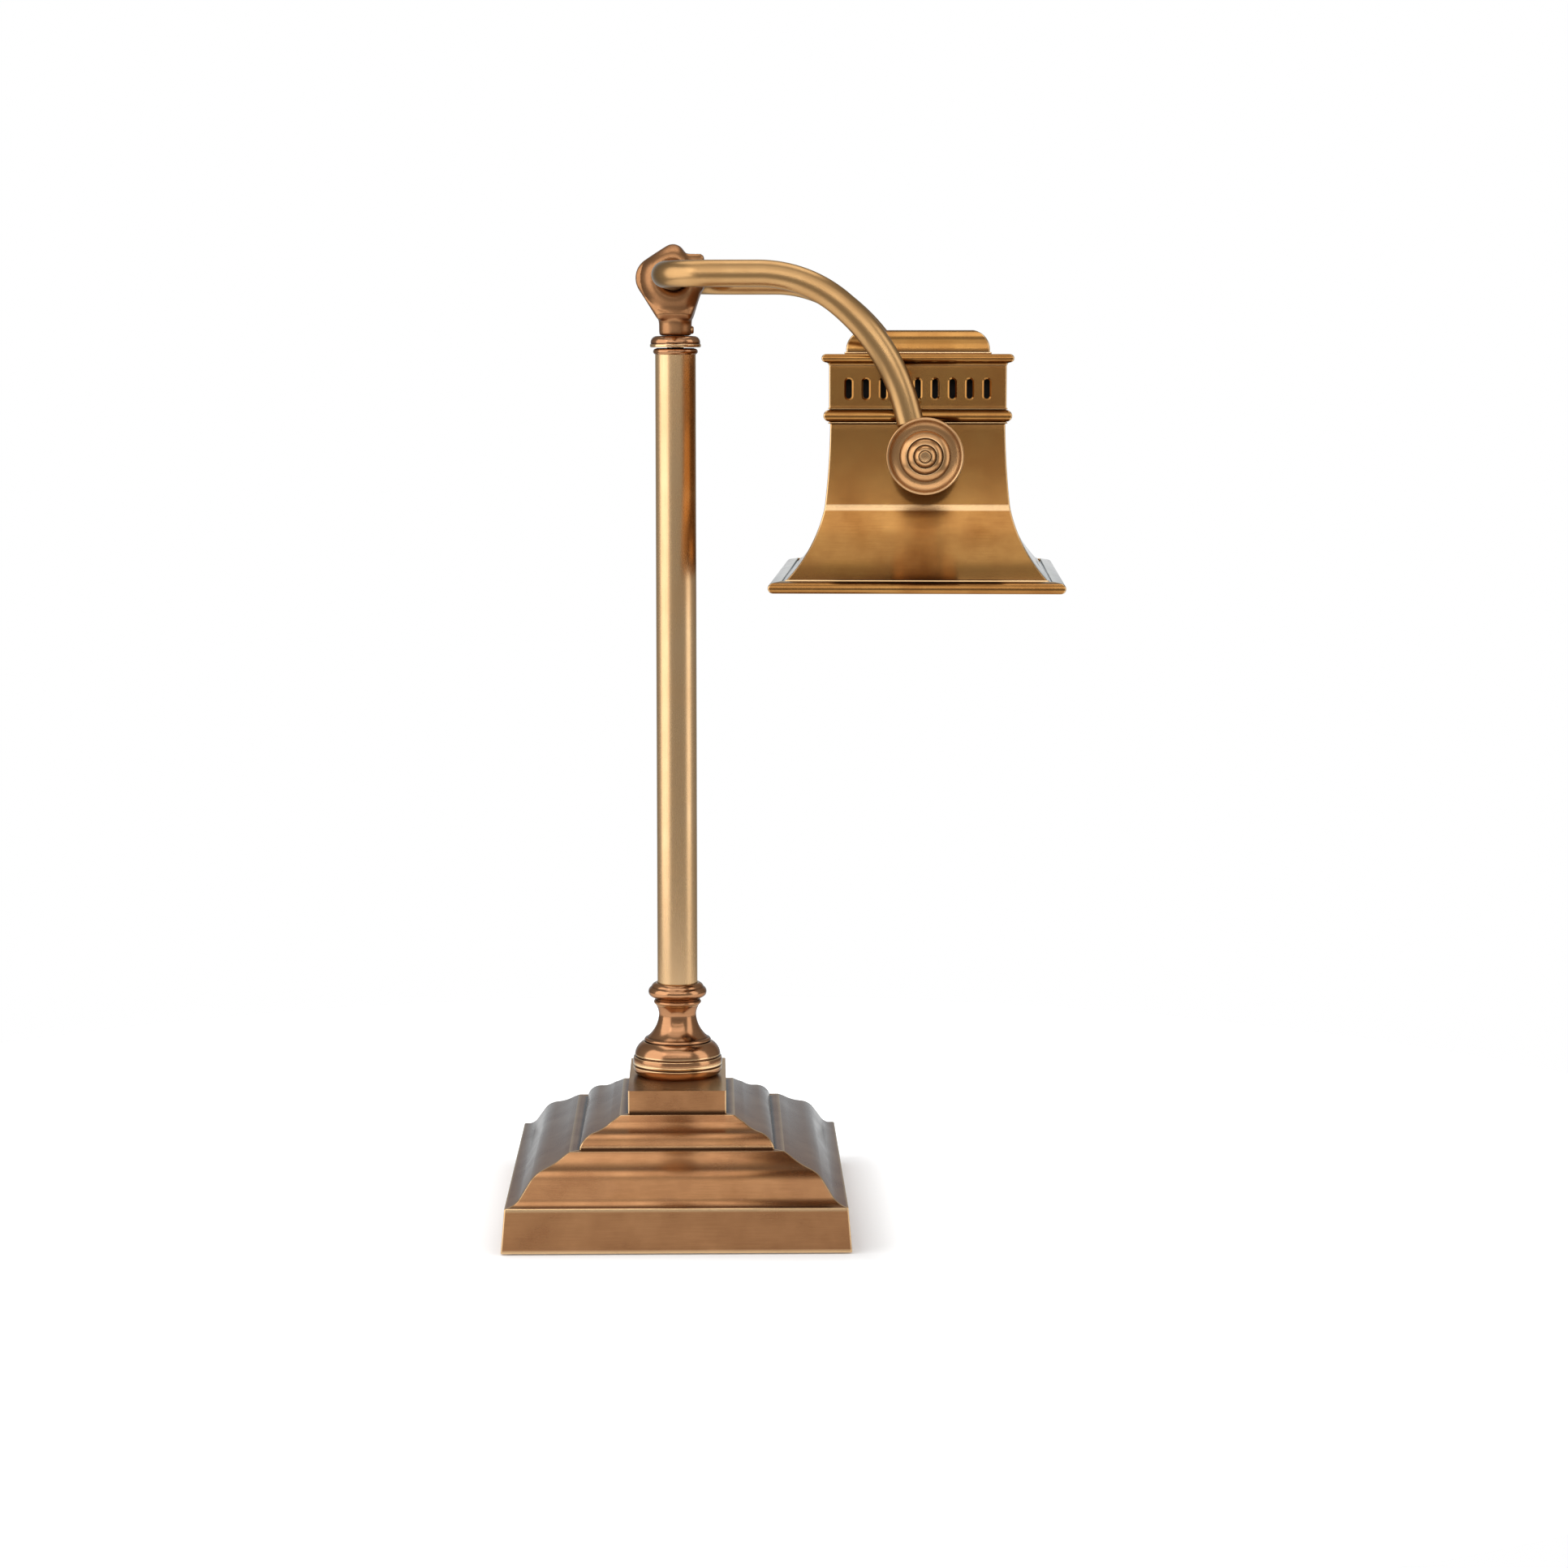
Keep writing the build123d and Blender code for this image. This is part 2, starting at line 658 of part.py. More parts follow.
# Pivot pieces, the same at both ends: local X runs outwards along the pivot axis, local Y is the radius
knob_rim_top = knob_back + knob_disc + knob_rim_rise
knob_floor = knob_back + knob_disc - knob_dish
step_one_top = knob_floor + knob_step_rise
step_two_top = step_one_top + knob_step_rise
step_three_top = step_two_top + knob_step_rise
button_top = step_three_top + button_rise
for side, end in ((-1, "near"), (1, "far")):
    outwards = head.y_dir * side
    axis = Axis(pivot, outwards)
    half_plane = Plane(origin=pivot, x_dir=outwards, z_dir=(0, 0, 1))
    across = Plane(origin=pivot, x_dir=head.x_dir, z_dir=outwards)

    with BuildPart() as boss:
        with BuildSketch(across.offset(boss_inner)):
            Circle(boss_radius)
        extrude(amount=boss_thickness)
        fillet(edges(), boss_round)
        with BuildSketch(across.offset(boss_inner)):
            Circle(hub_radius)
        extrude(amount=hub_face - boss_inner)
        with BuildSketch(across.offset(hub_face)):
            Circle(pivot_radius + running)
        extrude(amount=boss_outer - hub_face, mode=Mode.SUBTRACT)
    keep(boss, f"{end}_boss")

    with BuildPart() as washer:
        with BuildSketch(across.offset(shade_face)):
            Circle(friction_radius)
            Circle(pivot_radius + fit, mode=Mode.SUBTRACT)
        extrude(amount=friction_thickness)
    keep(washer, f"{end}_friction_washer")

    nut_face = shade_face - shade_wall
    with BuildPart() as pivot_nut:
        with BuildSketch(across.offset(nut_face)):
            hexagon(pivot_nut_flats)
            Circle(pivot_radius + fit, mode=Mode.SUBTRACT)
        extrude(amount=-pivot_nut_height)
    keep(pivot_nut, f"{end}_pivot_nut")

    stud_start = nut_face - pivot_nut_height - pivot_tail
    with BuildPart() as pivot_stud:
        with BuildSketch(across.offset(stud_start)):
            Circle(pivot_radius)
        extrude(amount=knob_back + knob_thread - end_gap - stud_start)
    keep(pivot_stud, f"{end}_pivot_stud")

    with BuildPart() as knob:
        with BuildSketch(half_plane):
            with BuildLine():
                disc = Polyline(
                    (knob_back, pivot_radius + running),
                    (knob_back, knob_radius),
                    (knob_rim_top - knob_edge, knob_radius),
                    (knob_rim_top, knob_radius - knob_rim / 2),
                    (knob_rim_top - knob_rim_rise, knob_radius - knob_rim),
                )
                dish = SagittaArc(disc @ 1, (knob_floor + knob_dish, knob_step_one), -knob_dish)
                steps = Polyline(
                    dish @ 1,
                    (step_one_top - knob_edge, knob_step_one),
                    (step_one_top, knob_step_one - knob_edge),
                    (step_one_top, knob_step_two),
                    (step_two_top - knob_edge, knob_step_two),
                    (step_two_top, knob_step_two - knob_edge),
                    (step_two_top, knob_step_three),
                    (step_three_top - knob_edge, knob_step_three),
                    (step_three_top, knob_step_three - knob_edge),
                    (step_three_top, button_radius),
                    (button_top, button_radius),
                )
                dimple = Line(steps @ 1, (button_top - button_dimple, 0))
                Polyline(
                    dimple @ 1,
                    (knob_back + knob_thread, 0),
                    (knob_back + knob_thread, pivot_radius + running),
                    disc @ 0,
                )
            make_face()
        revolve(axis=axis)
    keep(knob, f"{end}_knob")


def flare_curve(half, drop):
    """Wall, flare, cone and flange of the bell, from its top edge down; drop lowers the inside."""
    wall = Line((half, bell_top), (half, flare_top - drop))
    flare = SagittaArc(wall @ 1, (half + flare_run, flare_foot - drop), -flare_bow)
    cone_half = half + flare_run + cone_run
    cone = Line(flare @ 1, (cone_half, cone_foot - drop))
    return Line(cone @ 1, (cone_half + flange_run, flange_z - drop))


def bell_outside(extra):
    """Face of the bell's outside across one direction, with its rolled rim."""
    with BuildLine() as outline:
        Line((0, bell_top), (bell_half + extra, bell_top))
        flange = flare_curve(bell_half + extra, 0)
        rim_half = (flange @ 1).X
        rim = SagittaArc(flange @ 1, (rim_half, rim_bottom), rim_bow)
        Line(rim @ 1, (0, rim_bottom))
        mirror(about=Plane.YZ)
    make_face(outline.edges())


def bell_inside(extra):
    """Face of the bell's inside across one direction, one wall inside and below the outside."""
    with BuildLine() as outline:
        Line((0, bell_top), (bell_bore + extra, bell_top))
        flange = flare_curve(bell_bore + extra, shade_wall)
        rim_half = (flange @ 1).X
        Polyline(flange @ 1, (rim_half, rim_bottom), (0, rim_bottom))
        mirror(about=Plane.YZ)
    make_face(outline.edges())


def gallery_outside(extra):
    """Face of the gallery across one direction, standing on its waist bead."""
    with BuildLine() as outline:
        sole = Line((0, bell_top), (bell_half + extra, bell_top))
        bead = SagittaArc(sole @ 1, (gallery_half + extra, bead_top), -waist_bead_bow)
        Polyline(bead @ 1, (gallery_half + extra, gallery_top), (0, gallery_top))
        mirror(about=Plane.YZ)
    make_face(outline.edges())


def cornice_outside(extra):
    """Face of the cornice across one direction: an ogee under a plain edge."""
    with BuildLine() as outline:
        half = gallery_half + extra
        middle = (half + cornice_run / 2, gallery_top + cornice_ogee / 2)
        sole = Line((0, gallery_top), (half, gallery_top))
        cove = SagittaArc(sole @ 1, middle, cornice_bow)
        ovolo = SagittaArc(cove @ 1, (half + cornice_run, gallery_top + cornice_ogee), -cornice_bow)
        Polyline(ovolo @ 1, (half + cornice_run, cornice_top), (0, cornice_top))
        mirror(about=Plane.YZ)
    make_face(outline.edges())


def dome_section(extra, shell):
    """Face of the dome across one direction; shell draws it again inside its wall."""
    with BuildLine() as outline:
        sole = Line((0, cornice_top), (dome_half + extra - shell, cornice_top))
        shoulder = SagittaArc(sole @ 1, (dome_flat + extra - shell, dome_top - shell), -dome_bow)
        Line(shoulder @ 1, (0, dome_top - shell))
        mirror(about=Plane.YZ)
    make_face(outline.edges())


# Shade: every section runs along both directions and mitres at the corners
far_out = 2 * arm_reach
with BuildPart() as bell_core:
    with BuildSketch(shade_xz):
        bell_inside(0)
    extrude(amount=far_out, both=True)
    with BuildSketch(shade_yz):
        bell_inside(shade_extra)
    extrude(amount=far_out, both=True, mode=Mode.INTERSECT)

with BuildPart() as shade_bell:
    with BuildSketch(shade_xz):
        bell_outside(0)
    extrude(amount=far_out, both=True)
    with BuildSketch(shade_yz):
        bell_outside(shade_extra)
    extrude(amount=far_out, both=True, mode=Mode.INTERSECT)
    add(bell_core.part, mode=Mode.SUBTRACT)
    with BuildSketch(shade_xz):
        with Locations((shade_back, pivot_z)):
            Circle(pivot_radius + fit)
    extrude(amount=2 * shade_face, both=True, mode=Mode.SUBTRACT)
keep(shade_bell, "shade_bell")

end_slots = 1 + int((2 * (bell_bore - slot_margin) - slot_width) / slot_pitch)
side_slots = 1 + int((2 * (bell_bore + shade_extra - slot_margin) - slot_width) / slot_pitch)
slot_z = bell_top + slot_rise
with BuildPart() as vent_gallery:
    with BuildSketch(shade_xz):
        gallery_outside(0)
    extrude(amount=far_out, both=True)
    with BuildSketch(shade_yz):
        gallery_outside(shade_extra)
    extrude(amount=far_out, both=True, mode=Mode.INTERSECT)
    with BuildSketch(shade_xy.offset(bell_top)):
        Rectangle(2 * bell_bore, 2 * (bell_bore + shade_extra))
    extrude(amount=gallery_top - bell_top, mode=Mode.SUBTRACT)
    for plane, count in ((shade_xz, end_slots), (shade_yz, side_slots)):
        with BuildSketch(plane):
            with Locations((0, slot_z)):
                with GridLocations(slot_pitch, slot_pitch, count, 1):
                    SlotOverall(slot_height, slot_width, rotation=90)
        extrude(amount=far_out, both=True, mode=Mode.SUBTRACT)
keep(vent_gallery, "vent_gallery")

with BuildPart() as cap_plate:
    with BuildSketch(shade_xz):
        cornice_outside(0)
    extrude(amount=far_out, both=True)
    with BuildSketch(shade_yz):
        cornice_outside(shade_extra)
    extrude(amount=far_out, both=True, mode=Mode.INTERSECT)
    with BuildSketch(shade_xy.offset(gallery_top)):
        Rectangle(2 * bell_bore, 2 * (bell_bore + shade_extra))
    extrude(amount=plate_underside - gallery_top, mode=Mode.SUBTRACT)
    with BuildSketch(shade_xy.offset(cornice_top)):
        Circle(nipple_radius + fit)
    extrude(amount=-2 * plate_roof, mode=Mode.SUBTRACT)
keep(cap_plate, "cap_plate")

with BuildPart() as dome_core:
    with BuildSketch(shade_xz):
        dome_section(0, shade_wall)
    extrude(amount=far_out, both=True)
    with BuildSketch(shade_yz):
        dome_section(shade_extra, shade_wall)
    extrude(amount=far_out, both=True, mode=Mode.INTERSECT)

with BuildPart() as cap_dome:
    with BuildSketch(shade_xz):
        dome_section(0, 0)
    extrude(amount=far_out, both=True)
    with BuildSketch(shade_yz):
        dome_section(shade_extra, 0)
    extrude(amount=far_out, both=True, mode=Mode.INTERSECT)
    add(dome_core.part, mode=Mode.SUBTRACT)
keep(cap_dome, "cap_dome")

# Lampholder hung from the cornice plate
nipple_top = cornice_top + nipple_nut_height + nipple_above_nut
nipple_bottom = plate_underside - nipple_in_cap
with BuildPart() as holder_nipple:
    with BuildSketch(shade_xy.offset(nipple_bottom)):
        Circle(nipple_radius)
        Circle(nipple_bore, mode=Mode.SUBTRACT)
    extrude(amount=nipple_top - nipple_bottom)
keep(holder_nipple, "holder_nipple")

with BuildPart() as nipple_nut:
    with BuildSketch(shade_xy.offset(cornice_top)):
        hexagon(nipple_nut_flats)
        Circle(nipple_radius + fit, mode=Mode.SUBTRACT)
    extrude(amount=nipple_nut_height)
keep(nipple_nut, "nipple_nut")

with BuildPart() as lampholder_cap:
    with BuildSketch(shade_xz):
        with BuildLine():
            top = Line((nipple_radius + fit, plate_underside), (holder_cap_radius / 2, plate_underside))
            crown = SagittaArc(top @ 1, (holder_cap_radius, shell_top), holder_cap_bow)
            Polyline(
                crown @ 1,
                (holder_cap_radius, holder_cap_bottom),
                (shell_radius + fit, holder_cap_bottom),
                (shell_radius + fit, shell_top),
                (nipple_radius + fit, shell_top),
                top @ 0,
            )
        make_face()
    revolve(axis=shade_axis)
keep(lampholder_cap, "lampholder_cap")

key_z = shell_top - key_below_cap
key_spot = head.from_local_coords((arm_reach - shade_back + shell_radius, 0, key_z))
key_plane = Plane(origin=key_spot, x_dir=head.y_dir, z_dir=head.x_dir)
bulb_cap_top = bulb_neck_z + bulb_cap_length
with BuildPart() as lampholder_shell:
    with BuildSketch(shade_xy.offset(shell_bottom)):
        Circle(shell_radius)
    extrude(amount=shell_length)
    with BuildSketch(shade_xy.offset(shell_bottom)):
        Circle(bulb_cap_radius + fit)
    extrude(amount=bulb_cap_top - shell_bottom, mode=Mode.SUBTRACT)
    with BuildSketch(key_plane):
        Circle(key_radius + running)
    extrude(amount=-key_engagement - end_gap, mode=Mode.SUBTRACT)
keep(lampholder_shell, "lampholder_shell")

with BuildPart() as bulb_cap:
    with BuildSketch(shade_xy.offset(bulb_neck_z)):
        Circle(bulb_cap_radius)
    extrude(amount=bulb_cap_length)
keep(bulb_cap, "bulb_cap")

globe_shoulder = globe_radius * math.sqrt(0.5)
inner_shoulder = (globe_radius - glass_wall) * math.sqrt(0.5)
with BuildPart() as bulb_glass:
    with BuildSketch(shade_xz):
        with BuildLine():
            neck = Line((bulb_neck_radius, bulb_neck_z), (globe_shoulder, globe_z + globe_shoulder))
            ThreePointArc(neck @ 1, (globe_radius, globe_z), (0, globe_z - globe_radius))
            inner = Line((0, globe_z - globe_radius), (0, globe_z - globe_radius + glass_wall))
            inside = ThreePointArc(
                inner @ 1,
                (globe_radius - glass_wall, globe_z),
                (inner_shoulder, globe_z + inner_shoulder),
            )
            Polyline(inside @ 1, (bulb_neck_radius - glass_wall, bulb_neck_z), neck @ 0)
        make_face()
    revolve(axis=shade_axis)
keep(bulb_glass, "bulb_glass")

with BuildPart() as switch_key:
    with BuildSketch(key_plane.offset(-key_engagement)):
        Circle(key_radius)
    extrude(amount=key_engagement + key_stem)
    with BuildSketch(key_plane.offset(key_stem)):
        SlotOverall(key_paddle_width, key_paddle_thickness)
    extrude(amount=key_paddle_length)
keep(switch_key, "switch_key")
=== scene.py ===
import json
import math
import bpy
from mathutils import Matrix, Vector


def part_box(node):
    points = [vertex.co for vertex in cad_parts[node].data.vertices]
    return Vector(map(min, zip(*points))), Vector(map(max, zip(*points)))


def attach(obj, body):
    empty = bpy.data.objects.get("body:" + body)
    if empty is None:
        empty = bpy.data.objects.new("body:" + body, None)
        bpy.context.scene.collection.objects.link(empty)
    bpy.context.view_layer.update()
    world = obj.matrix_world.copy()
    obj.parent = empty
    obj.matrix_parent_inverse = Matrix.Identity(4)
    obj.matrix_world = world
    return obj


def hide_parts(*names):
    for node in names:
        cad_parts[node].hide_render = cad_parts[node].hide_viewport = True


bl_info = {
    "name": "Brass desk lamp",
    "version": (1, 0, 0),
    "blender": (4, 5, 0),
    "location": "3D View > Sidebar > Lamp",
    "description": "Dresses the packed frame of a desk lamp in brushed brass and bronze",
    "category": "Add Mesh",
}

from itertools import accumulate

import bmesh
import bpy
from bpy.props import FloatProperty, FloatVectorProperty, PointerProperty
from mathutils import Matrix, Vector

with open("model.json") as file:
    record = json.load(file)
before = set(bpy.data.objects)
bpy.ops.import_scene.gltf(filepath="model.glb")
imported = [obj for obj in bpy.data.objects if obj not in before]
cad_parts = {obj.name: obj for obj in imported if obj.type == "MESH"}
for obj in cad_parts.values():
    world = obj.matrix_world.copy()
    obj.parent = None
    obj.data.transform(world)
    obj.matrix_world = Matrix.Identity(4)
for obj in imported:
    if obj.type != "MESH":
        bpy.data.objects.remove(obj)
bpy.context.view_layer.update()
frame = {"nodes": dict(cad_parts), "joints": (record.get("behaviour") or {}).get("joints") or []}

MM = 0.001
UP = Vector((0, 0, 1))

# Half sides of the flat rectangles, in millimetres, that the base's and the shade's mouldings run round
BLOCK_HALF = (23.0, 42.0)
SHADE_HALF = (0.0, 40.0)

# Faces that meet at more than this angle keep a sharp edge, on a whole piece and on one that was cut
SHARP_EDGE = math.radians(35)
CUT_EDGE = math.radians(30)

# Noise cells per metre: polishing grain of 1.1 mm, coarser than the real one so that it shows, and patches
# of patina 22 mm across
POLISH_CELLS = 900.0
PATINA_CELLS = 45.0

# Places that the frame gives: the shade's pivot, the yoke's eye and the direction across the shade
JOINTS = {joint["name"]: joint for joint in frame["joints"]}
PIVOT = Vector(JOINTS["shade_tilt"]["pos_m"])
EYE = Vector(JOINTS["yoke_tilt"]["pos_m"])
ACROSS = -Vector(JOINTS["shade_tilt"]["axis"])
AHEAD = ACROSS.cross(UP)


def axes(x, y, z, origin):
    """Matrix that places a piece whose own axes lie along x, y and z."""
    return Matrix.Translation(origin) @ Matrix((x, y, z)).transposed().to_4x4()


def middle(node):
    """Middle of a CAD node's box."""
    low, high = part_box(node)
    return (low + high) / 2


STAND_AXES = Matrix.Identity(4)
HEAD_AXES = axes(AHEAD, ACROSS, UP, Vector((0, 0, 0)))
SHADE_AXES = axes(AHEAD, ACROSS, UP, middle("bulb_cap") * Vector((1, 1, 0)))
PIVOT_AXES = {
    "near": axes(AHEAD, UP, -ACROSS, PIVOT),
    "far": axes(-AHEAD, UP, ACROSS, PIVOT),
}
INLET_AXES = axes(Vector((-1, 0, 0)), UP, Vector((0, 1, 0)), middle("cord_bushing"))
BASE_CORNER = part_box("base_casting")[1]


def linear(hex_colour):
    """Linear RGBA of an sRGB hex colour."""
    parts = [int(hex_colour[i:i + 2], 16) / 255 for i in (1, 3, 5)]
    return [c / 12.92 if c <= 0.04045 else ((c + 0.055) / 1.055) ** 2.4 for c in parts] + [1.0]


def colour(name, hex_colour, description):
    """Colour property with an sRGB hex default."""
    return FloatVectorProperty(
        name=name, description=description, subtype="COLOR", size=4, min=0, max=1, default=linear(hex_colour)
    )


def length(name, millimetres, description):
    """Length property with a default in millimetres."""
    return FloatProperty(name=name, description=description, unit="LENGTH", default=millimetres * MM)


def angle(name, degrees, description):
    """Angle property with a default in degrees."""
    return FloatProperty(name=name, description=description, subtype="ANGLE", default=math.radians(degrees))


class LampForm(bpy.types.PropertyGroup):
    edge_round: length("Edge round", 0.35, "Radius of the rubbed edges of the mouldings and turnings")
    corner_round: length("Corner round", 0.8, "Radius of the mitred corners of the base and shade")
    slot_width: length("Slot width", 2.7, "Width of a vent slot at its throat")
    slot_height: length("Slot height", 8.8, "Height of a vent slot at its throat")
    slot_pitch: length("Slot pitch", 7.7, "Distance from one vent slot to the next")
    slot_bevel: length("Slot bevel", 0.8, "Width of the dished edge round a vent slot")


class LampFinish(bpy.types.PropertyGroup):
    tube_light: colour("Tube light", "#debc91", "Burnished brass of the post")
    tube_dark: colour("Tube dark", "#c69d6e", "Duller streaks of the post")
    # The yoke's tones are the post's brass, darkened as painted shade
    yoke_light: colour("Yoke light", "#be9868", "Bent brass tube of the yoke")
    yoke_dark: colour("Yoke dark", "#9f784c", "Duller streaks of the yoke")
    base_light: colour("Base light", "#ad8058", "Rubbed bronze of the base, knuckle and bosses")
    base_dark: colour("Base dark", "#84593a", "Darker streaks of the base, knuckle and bosses")
    foot_light: colour("Foot light", "#c2926a", "Polished bronze of the foot, cap and collar")
    foot_dark: colour("Foot dark", "#835638", "Darker bronze of the foot, cap and collar")
    shade_light: colour("Shade light", "#ac7f47", "Brushed brass of the shade")
    shade_dark: colour("Shade dark", "#86572b", "Darker streaks of the shade")
    knob_light: colour("Knob light", "#c99b6c", "Turned brass of the knobs")
    knob_dark: colour("Knob dark", "#9a6f47", "Darker rings of the knobs")
    # Pale metal that outer edges and mitres mix towards, partly wear and partly a painted highlight, and
    # dark brown that inner corners and seams mix towards, partly old polish and partly painted shade
    bare_and_highlight: colour("Bare metal", "#f2cf9f", "Bright metal of the rubbed edges")
    grime_and_shade: colour("Grime", "#3a2416", "Old polish and dust in the inner corners")
    film: colour("Film", "#aab6be", "Grey film that dulls the metal at a glancing angle")
    brush_spacing: length("Brush spacing", 0.4, "Distance between brush lines, coarse enough to show")
    brush_length: length("Brush length", 22.0, "Length of a brush line")


class LampStage(bpy.types.PropertyGroup):
    lens: FloatProperty(name="Lens", description="Focal length of the camera", default=85.58, min=20)
    distance: length("Distance", 1760.0, "Distance of the camera from the post")
    height: length("Height", 402.0, "Height of the camera above the floor")
    aside: length("Aside", 14.5, "How far the camera stands to the right of the post")
    pitch: angle("Pitch", 6.41, "How far the camera looks down")
    yaw: angle("Yaw", 1.185, "How far the camera looks right")


def trace(points, steps=10):
    """Outline through points in millimetres; a third number bows the stretch that ends there to its left."""
    path = [Vector(points[0])]
    for u, v, *bow in points[1:]:
        start, end = path[-1], Vector((u, v))
        if not bow:
            path.append(end)
            continue
        rise, half = abs(bow[0]), (end - start).length / 2
        sign = math.copysign(1, bow[0])
        left = Vector((start.y - end.y, end.x - start.x)).normalized() * sign
        centre = (start + end) / 2 + left * (rise - (half ** 2 + rise ** 2) / (2 * rise))
        sweep = 4 * math.atan2(rise, half)
        for i in range(1, steps + 1):
            path.append(centre + Matrix.Rotation(-sign * sweep * i / steps, 2) @ (start - centre))
    return path


def soften(path, radius, fade=1.5, steps=3):
    """Rounds an outline's corners and marks its points: 1 on an outer edge, -1 on an inner one, else 0.

    Beside each corner the mark fades over some millimetres."""
    curve_turn, sharpest = 0.33, 2.6  # radians: a smaller turn is a step of a curve, a larger one is cut off
    share = 0.4  # of a stretch, the most that one rounding takes
    soft = [(path[0], 0.0)]
    for before, corner, after in zip(path, path[1:], path[2:]):
        a, b = corner - before, after - corner
        turn = math.atan2(a.x * b.y - a.y * b.x, a.dot(b))
        if abs(turn) < curve_turn:
            soft.append((corner, 0.0))
            continue
        reach = radius * math.tan(min(abs(turn), sharpest) / 2)
        reach = min(reach, share * a.length, share * b.length)
        start, end = corner - a.normalized() * reach, corner + b.normalized() * reach
        mark = math.copysign(min(1.0, abs(turn)), turn)
        room = 2.2 * (reach + fade)  # a shorter stretch has no place for a fade at both ends
        if a.length > room:
            soft.append((start - a.normalized() * fade, 0.0))
        for i in range(steps + 1):
            t = i / steps
            soft.append(((1 - t) ** 2 * start + 2 * t * (1 - t) * corner + t * t * end, mark))
        if b.length > room:
            soft.append((end + b.normalized() * fade, 0.0))
    return soft + [(path[-1], 0.0)]


def skin(rings, marks, wrap=False, caps=False, lengthwise=False, ridges=()):
    """Mesh over closed rings of points: UV.x runs along the brushing, and the attribute rub holds each
    point's mark of wear and painted light.

    Ridges are the places in a ring where a mitre runs, which get the edge mark as well: partly wear, partly
    a painted highlight."""
    mitre_wear_and_highlight = 0.7
    shape = bmesh.new()
    uv = shape.loops.layers.uv.new("brush")
    rub = shape.verts.layers.float.new("rub")
    grid = []
    for ring, mark in zip(rings, marks):
        grid.append([shape.verts.new(point) for point in ring])
        for j, vert in enumerate(grid[-1]):
            vert[rub] = max(mark, mitre_wear_and_highlight) if j in ridges else mark
    widest = max(rings, key=lambda ring: sum((a - b).length for a, b in zip(ring, ring[1:])))
    around = [0.0, *accumulate((a - b).length for a, b in zip(widest, widest[1:] + widest[:1]))]
    outward = [0.0, *accumulate((a[0] - b[0]).length for a, b in zip(rings, rings[1:] + rings[:1]))]
    count = len(widest)
    for i in range(len(rings) if wrap else len(rings) - 1):
        lower, upper = grid[i], grid[(i + 1) % len(rings)]
        for j in range(count):
            k = (j + 1) % count
            face = shape.faces.new((lower[j], lower[k], upper[k], upper[j]))
            spots = ((j, i), (j + 1, i), (j + 1, i + 1), (j, i + 1))
            for loop, (u, v) in zip(face.loops, spots):
                spot = (around[u], outward[v])
                loop[uv].uv = spot[::-1] if lengthwise else spot
    if caps:
        for face in (shape.faces.new(grid[0][::-1]), shape.faces.new(grid[-1])):
            for loop in face.loops:
                loop[uv].uv = loop.vert.co.xy
    bmesh.ops.remove_doubles(shape, verts=shape.verts, dist=1e-7)
    bmesh.ops.recalc_face_normals(shape, faces=shape.faces)
    mesh = bpy.data.meshes.new("skin")
    shape.to_mesh(mesh)
    shape.free()
    return mesh


def turned(outline, place, round_mm, segments=96):
    """Turning of an outline of (radius, height) in millimetres about the Z of its place.

    An outline that starts off the axis closes to a ring, and one that starts on it makes a solid."""
    ring = outline[0].x > 0
    marked = soften([*outline, *outline[:2]], round_mm)[1:-1] if ring else soften(outline, round_mm)
    angles = [2 * math.pi * i / segments for i in range(segments)]
    rings = []
    for p, _ in marked:
        rings.append([place @ (Vector((p.x * math.cos(t), p.x * math.sin(t), p.y)) * MM) for t in angles])
    return skin(rings, [mark for _, mark in marked], wrap=ring)


def moulded(outline, half, place, round_mm, corner_mm, wrap=False, bands=()):
    """Moulding run round a rectangle of two half sides and mitred, all in millimetres.

    The outline is (distance out, height). A wrapped one closes to a hollow sheet. Each band gives a low
    height, a high height and the mark of the surface between them."""
    fan = 4  # steps round each corner
    closed = [*outline, outline[0], outline[1]] if wrap else outline
    marked = soften(closed, round_mm)
    marked = marked[1:-1] if wrap else marked
    for low, high, band in bands:
        marked = [(p, band if low < p.y < high else mark) for p, mark in marked]
    rings = []
    for p, _ in marked:
        x, y = half[0] + p.x - corner_mm, half[1] + p.x - corner_mm
        ring = []
        for quarter, (sx, sy) in enumerate(((1, 1), (-1, 1), (-1, -1), (1, -1))):
            for i in range(fan + 1):
                t = (quarter + i / fan) * math.pi / 2
                spot = Vector((sx * x + corner_mm * math.cos(t), sy * y + corner_mm * math.sin(t), p.y))
                ring.append(place @ (spot * MM))
        rings.append(ring)
    mitres = [(fan + 1) * quarter + i for quarter in range(4) for i in range(1, fan)]
    return skin(rings, [mark for _, mark in marked], wrap=wrap, caps=not wrap, ridges=mitres)


def piped(path, radius_mm, segments=48):
    """Round tube along a path of points in metres, brushed along its length."""
    rings = []
    side = (path[1] - path[0]).orthogonal().normalized()
    for i, point in enumerate(path):
        ahead = (path[min(i + 1, len(path) - 1)] - path[max(i - 1, 0)]).normalized()
        side = (side - ahead * side.dot(ahead)).normalized()
        other = ahead.cross(side)
        angles = (2 * math.pi * k / segments for k in range(segments))
        rings.append([point + (side * math.cos(t) + other * math.sin(t)) * radius_mm * MM for t in angles])
    return skin(rings, [0.0] * len(rings), caps=True, lengthwise=True)


def bent(corners, radii, steps=16):
    """Path through corners with each inner corner rounded to its radius, all in metres."""
    path = [corners[0]]
    for before, corner, after, radius in zip(corners, corners[1:], corners[2:], radii):
        a, b = (corner - before).normalized(), (after - corner).normalized()
        half = a.angle(b) / 2
        start, end = corner - a * radius * math.tan(half), corner + b * radius * math.tan(half)
        centre = corner + (b - a).normalized() * radius / math.cos(half)
        axis = a.cross(b).normalized()
        for i in range(steps + 1):
            path.append(centre + Matrix.Rotation(2 * half * i / steps, 3, axis) @ (start - centre))
    return path + [corners[-1]]


